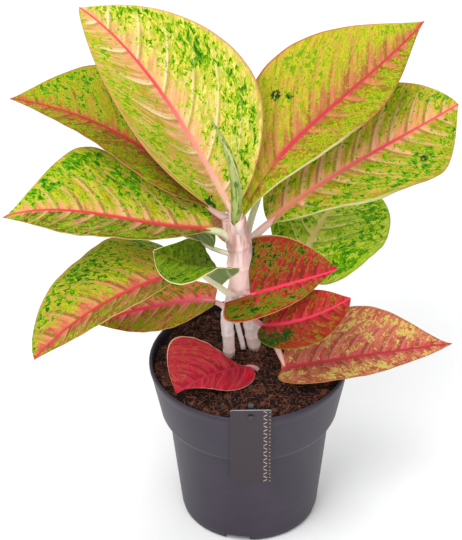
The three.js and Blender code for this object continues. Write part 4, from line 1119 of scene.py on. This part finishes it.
def make_soil():
    """The body of soil with a rough heaped top, and the loose mix that is scattered over it."""
    segments, rings = 150, 60
    angle = np.arange(segments) * 2 * np.pi / segments
    rng = np.random.default_rng(SEED)
    wall = [(BODY_FOOT_RADIUS - POT_WALL - SOIL_GAP, SOIL_FOOT_Z),
            (BODY_TOP_RADIUS - POT_WALL - SOIL_GAP, BODY_TOP_Z + 1.7),
            (COLLAR_FOOT_RADIUS - POT_WALL - SOIL_GAP, COLLAR_FOOT_Z + 0.9),
            (SOIL_EDGE_RADIUS, SOIL_Z - 1.5)]
    points = [(0, 0, SOIL_FOOT_Z)]
    for radius, z in wall:
        points += list(zip(radius * np.cos(angle), radius * np.sin(angle), np.full(segments, z)))
    for k in range(1, rings):
        radius = SOIL_EDGE_RADIUS * (1 - k / rings)
        x, y = radius * np.cos(angle), radius * np.sin(angle)
        points += list(zip(x, y, soil_height(x, y) + rng.normal(0, SOIL_ROUGHNESS, segments)))
    points.append((0, 0, float(soil_height(0.0, 0.0))))
    faces = turned_faces(len(wall) + rings - 1, segments)
    ground = mix_skin("damp peat", "#0e0604", "#402418")
    chips = mix_skin("composted bark chips", "#180a06", "#68402e")
    bark = mix_skin("composted bark grains", "#120605", "#744232")
    coir = mix_skin("coir fibres", "#301710", "#9c624a")
    soil = new_piece("soil_fine", points, faces, [ground])
    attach(soil, "root")
    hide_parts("soil")

    surface = bpy.data.meshes.new("soil surface")
    first = 1 + len(wall) * segments
    top_faces = [tuple(i - first for i in f) for f in faces if min(f) >= first]
    surface.from_pydata([tuple(np.array(p) * MM) for p in points[first:]], [], top_faces)
    grains, fibres = grains_tree(), fibres_tree()
    lumpy, gritty = (1.0, 0.75, 0.55), (1.0, 0.8, 0.6)
    mixed = [(name, grains, {"Grains per square metre": count, "Smallest": small * MM, "Largest": large * MM,
                             "Roundness": roundness, "Stretch": stretch, "Seed": seed, "Material": skin})
             for name, count, small, large, roundness, stretch, seed, skin in (
                 ("bark_chips", 7000.0, 1.4, 4.2, 4, lumpy, 1, chips),
                 ("bark_lumps", 80000.0, 0.6, 2.5, 2, lumpy, 2, bark),
                 ("fine_grains", 380000.0, 0.3, 1.1, 1, gritty, 3, bark))]
    mixed.append(("coir", fibres, {"Fibres per square metre": 80000.0, "Length": 7.5 * MM,
                                   "Thickness": 0.13 * MM, "Seed": 4, "Material": coir}))
    for name, tree, values in mixed:
        piece = grow("soil_" + name, surface.copy(), tree, values)
        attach(piece, "root")


make_soil()

# Tag


def tag_card():
    # Printed polystyrene card: near-black ink with a satin lacquer over a faint paper-like grain.
    material, tree = new_material("printed polystyrene card")
    place = add(tree, "TexCoord", output=3)
    # grain about 1 mm, drawn coarser than the real one so that it shows
    noise = add(tree, "TexNoise", {"Vector": place, "Scale": 900.0, "Detail": 2.0})
    cloud = add(tree, "MapRange", {0: noise, 1: 0.4, 2: 0.7, 4: 0.4})
    skin = add(tree, "Mix", {0: cloud, 6: linear("#2c2128"), 7: linear("#382b33")},
               output=2, data_type="RGBA")
    bump = add(tree, "Bump", {"Height": noise, "Distance": 0.00005, "Strength": 0.3})
    shader = add(tree, "BsdfPrincipled",
                 {"Base Color": skin, "Roughness": 0.4, "IOR": 1.55, "Specular IOR Level": 0.3,
                  "Normal": bump})
    add(tree, "OutputMaterial", {"Surface": shader})
    return material


def grained(name, dark, light, roughness):
    # a mottling about 1 mm across, as on the card
    material, tree = new_material(name)
    place = add(tree, "TexCoord", output=3)
    noise = add(tree, "TexNoise", {"Vector": place, "Scale": 900.0, "Detail": 2.0})
    skin = add(tree, "Mix", {0: noise, 6: linear(dark), 7: linear(light)}, output=2, data_type="RGBA")
    shader = add(tree, "BsdfPrincipled", {"Base Color": skin, "Roughness": roughness})
    add(tree, "OutputMaterial", {"Surface": shader})
    return material


def card_edge():
    # Cut polystyrene: the card's bare rim, greyer and paler than its printed face, partly its own colour and
    # partly painted highlight where the rim catches the light, finely torn.
    return grained("cut polystyrene edge", "#7a747c", "#a29ca4", 0.6)


def tag_ink():
    # Pale gold printing ink: matt and pinkish, a little uneven where the card's grain shows through.
    return grained("printed gold ink", "#a88c7c", "#d8c4b4", 0.5)


def hook_plastic():
    # Moulded polyethylene: near black and satin, rubbed a little greyer in patches about 2 mm across.
    material, tree = new_material("moulded polyethylene")
    place = add(tree, "TexCoord", output=3)
    noise = add(tree, "TexNoise", {"Vector": place, "Scale": 500.0, "Detail": 2.0})
    rubbed = add(tree, "MapRange", {0: noise, 1: 0.35, 2: 0.7, 4: 0.2})
    skin = add(tree, "Mix", {0: rubbed, 6: linear("#19171b"), 7: linear("#5c5a60")},
               output=2, data_type="RGBA")
    shader = add(tree, "BsdfPrincipled", {"Base Color": skin, "Roughness": 0.45, "IOR": 1.51})
    add(tree, "OutputMaterial", {"Surface": shader})
    return material


def on_tag(x, y, z=0.0):
    """A place on the tag: x to the right, y up from where it rests on the rim, z out of its face."""
    up = np.array([0, -math.sin(TAG_LEAN), math.cos(TAG_LEAN)])
    out = np.array([0, -math.cos(TAG_LEAN), -math.sin(TAG_LEAN)])
    start = np.array([TAG_X, -RIM_RADIUS - 0.3, TAG_REST_Z])
    return start + np.array([1.0, 0, 0]) * x + up * y + out * z


def make_tag():
    """The card with its punched hole. Its rim and hole have as many points, joined one to one."""
    side = TAG_WIDTH / 2 - TAG_CORNER
    top, low = TAG_RISE - TAG_CORNER, TAG_RISE - TAG_LENGTH + TAG_CORNER
    rim = [(x + TAG_CORNER * math.cos(math.radians(a)), y + TAG_CORNER * math.sin(math.radians(a)))
           for x, y, start in ((side, low, -90), (side, top, 0), (-side, top, 90), (-side, low, 180))
           for a in range(start, start + 91, 15)]
    n = len(rim)
    hole_y = TAG_RISE - TAG_HOLE_DROP
    hole = [(TAG_HOLE_RADIUS * math.cos(a), hole_y + TAG_HOLE_RADIUS * math.sin(a))
            for a in np.linspace(0, 2 * np.pi, n, False)]
    shift = min(range(n), key=lambda s: sum(math.dist(rim[(i + s) % n], hole[i]) for i in range(n)))
    rim = [rim[(i + shift) % n] for i in range(n)]
    points = [on_tag(x, y, z) for z in (0.0, TAG_THICKNESS) for x, y in (*rim, *hole)]
    faces = []
    for i in range(n):
        j = (i + 1) % n
        faces.append((i, n + i, n + j, j))
        faces.append((2 * n + i, 2 * n + j, 3 * n + j, 3 * n + i))
        faces.append((i, j, 2 * n + j, 2 * n + i))
        faces.append((n + i, 3 * n + i, 3 * n + j, n + j))
    card = new_piece("tag_fine", points, faces, [tag_card(), card_edge()], [0, 0, 1, 1] * n, flat=True)
    bevel = card.modifiers.new("edge", "BEVEL")
    bevel.width = TAG_BEVEL * MM
    bevel.segments = 2
    plain_mesh(card)
    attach(card, "root")
    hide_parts("tag")


make_tag()


def border_tree():
    """Repeats the printed marks one above another."""
    tree, given = new_tree("dashed border", {"Count": "Int", "Step": "Vector", "Material": "Material"})
    row = add(tree, "GeometryNodeMeshLine", {"Count": given["Count"], "Offset": given["Step"]})
    marks = add(tree, "GeometryNodeInstanceOnPoints", {"Points": row, "Instance": given["Geometry"]})
    return end_tree(tree, marks, given["Material"])


def make_border():
    """The printed border by the card's right edge, solid ink a hair above the card.

    Each step has two dashes that lean to and fro, and two small ones beside them."""
    right, low, step = TAG_WIDTH / 2, TAG_RISE - TAG_LENGTH + 0.4, 7.8
    levels = (TAG_THICKNESS - 0.05, TAG_THICKNESS + 0.06)
    points, faces = [], []
    for x, wide, rise, thick in ((right - 4.1, 1.2, 1.8, 0.7), (right - 1.0, 0.45, 0.8, 0.5)):
        for left_y, right_y in ((0.7, 0.7 + rise), (4.6 + rise, 4.6)):
            bar = [(x - wide, left_y), (x + wide, right_y),
                   (x + wide, right_y + thick), (x - wide, left_y + thick)]
            n = len(points)
            points += [on_tag(px, low + py, z) for z in levels for px, py in bar]
            faces += [(n + 3, n + 2, n + 1, n), (n + 4, n + 5, n + 6, n + 7)]
            faces += [(n + a, n + (a + 1) % 4, n + 4 + (a + 1) % 4, n + 4 + a) for a in range(4)]
    mark = new_piece("mark", points, faces, [], flat=True)
    base = mark.data
    bpy.data.objects.remove(mark)
    shift = on_tag(0, step) - on_tag(0, 0)
    values = {"Count": 10, "Step": tuple(shift * MM), "Material": tag_ink()}
    border = grow("tag_border", base, border_tree(), values)
    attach(border, "root")


make_border()

# The strap's middle line, as (y, z)
HOOK_LINE = [(-70.5, 131.5), (-70.7, 134), (-70.7, 138), (-69.9, 140.2), (-68.3, 140.6), (-66.9, 139.2),
             (-66, 135), (-65.6, 130), (-65.5, 125.8)]


def make_hook():
    """The flat strap from the card's hole over the rim into the soil, with its round button."""
    line = smooth_path([(0, y, z) for y, z in HOOK_LINE], 40)
    ways = unit(np.gradient(line, axis=0))
    across = np.cross(ways, [1.0, 0, 0])
    half, thick = STRAP_WIDTH / 2, STRAP_THICKNESS / 2
    section = [(-half, -thick), (half, -thick), (half, thick), (-half, thick)]
    points, faces = [], []
    for centre, normal in zip(line, across):
        points += [centre + np.array([TAG_X + x, 0, 0]) + normal * h for x, h in section]
    for k in range(len(line) - 1):
        faces += [(4 * k + j, 4 * k + (j + 1) % 4, 4 * k + 4 + (j + 1) % 4, 4 * k + 4 + j) for j in range(4)]
    end = 4 * (len(line) - 1)
    faces += [(3, 2, 1, 0), (end, end + 1, end + 2, end + 3)]
    button_path = [on_tag(0, TAG_RISE - TAG_HOLE_DROP, z) for z in (-1.2, 1.05, 1.1, 1.5, 1.9)]
    button_points, button_faces = tube(button_path, [1.1, 1.1, 2.0, 2.0, 1.5], 24)
    faces += [tuple(i + len(points) for i in f) for f in button_faces]
    hook = new_piece("tag_hook_fine", np.vstack([points, button_points]), faces, [hook_plastic()], flat=True)
    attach(hook, "root")
    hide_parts("tag_hook")


make_hook()

# Floor, light and camera


def studio():
    # Seamless background paper: white and matt, with clouds about 330 mm across, too faint to notice.
    material, tree = new_material("seamless background paper")
    place = add(tree, "TexCoord", output=3)
    noise = add(tree, "TexNoise", {"Vector": place, "Scale": 3.0})
    soft = add(tree, "MapRange", {0: noise, 4: 0.1})
    skin = add(tree, "Mix", {0: soft, 6: linear("#fcfcfc"), 7: linear("#f4f4f4")},
               output=2, data_type="RGBA")
    shader = add(tree, "BsdfPrincipled", {"Base Color": skin, "Roughness": 0.9})
    add(tree, "OutputMaterial", {"Surface": shader})
    corners = [(-FLOOR_REACH, -FLOOR_REACH, 0), (FLOOR_REACH, -FLOOR_REACH, 0),
               (FLOOR_REACH, FLOOR_BACK, 0), (-FLOOR_REACH, FLOOR_BACK, 0)]
    floor = new_piece("floor", corners, [(0, 1, 2, 3)], [material], flat=True)

    world = bpy.data.worlds.new("studio")
    world.use_nodes = True
    backdrop = world.node_tree.nodes["Background"]
    backdrop.inputs["Color"].default_value = linear("#fbfcff")
    backdrop.inputs["Strength"].default_value = 0.56
    bpy.context.scene.world = world
    # broad soft lamps: one at the front left, one low at the front right, one above and behind
    for name, place, size, power in (("key", (-0.6, -0.9, 1.7), 1.1, 24.0),
                                     ("fill", (0.6, -1.8, 0.7), 1.2, 9.0),
                                     ("top", (0.2, 0.5, 1.9), 1.2, 15.0)):
        lamp = bpy.data.lights.new(name, "AREA")
        lamp.size = size
        lamp.energy = power
        holder = bpy.data.objects.new(name, lamp)
        holder.location = place
        aim = Vector((0, 0, 0.2)) - holder.location
        holder.rotation_euler = aim.to_track_quat("-Z", "Y").to_euler()
        bpy.context.scene.collection.objects.link(holder)


def camera():
    """A long lens that looks down at the plant, set by where the middle of the rim is in the picture.

    focal, rim_x and rim_y are in pixels."""
    focal, pitch, distance, roll = 2800.0, math.radians(35.6), 1960.0, math.radians(-0.5)
    rim, rim_x, rim_y = Vector((0, 0, POT_HEIGHT)), 249.0, 357.6
    ahead = Vector((0, math.cos(pitch), -math.sin(pitch)))
    right = Vector((1, 0, 0))
    up = right.cross(ahead)
    right, up = right * math.cos(roll) + up * math.sin(roll), up * math.cos(roll) - right * math.sin(roll)
    ray = ahead + right * ((rim_x - PICTURE_WIDTH / 2) / focal) - up * ((rim_y - PICTURE_HEIGHT / 2) / focal)
    lens = bpy.data.cameras.new("camera")
    lens.sensor_width = SENSOR
    lens.lens = focal / PICTURE_HEIGHT * SENSOR
    lens.clip_end = 50.0
    holder = bpy.data.objects.new("camera", lens)
    turn = Matrix((right, up, -ahead)).transposed().to_4x4()
    holder.matrix_world = Matrix.Translation((rim - ray.normalized() * distance) * MM) @ turn
    bpy.context.scene.collection.objects.link(holder)
    bpy.context.scene.camera = holder


studio()
camera()
bpy.context.scene.view_settings.view_transform = "Standard"
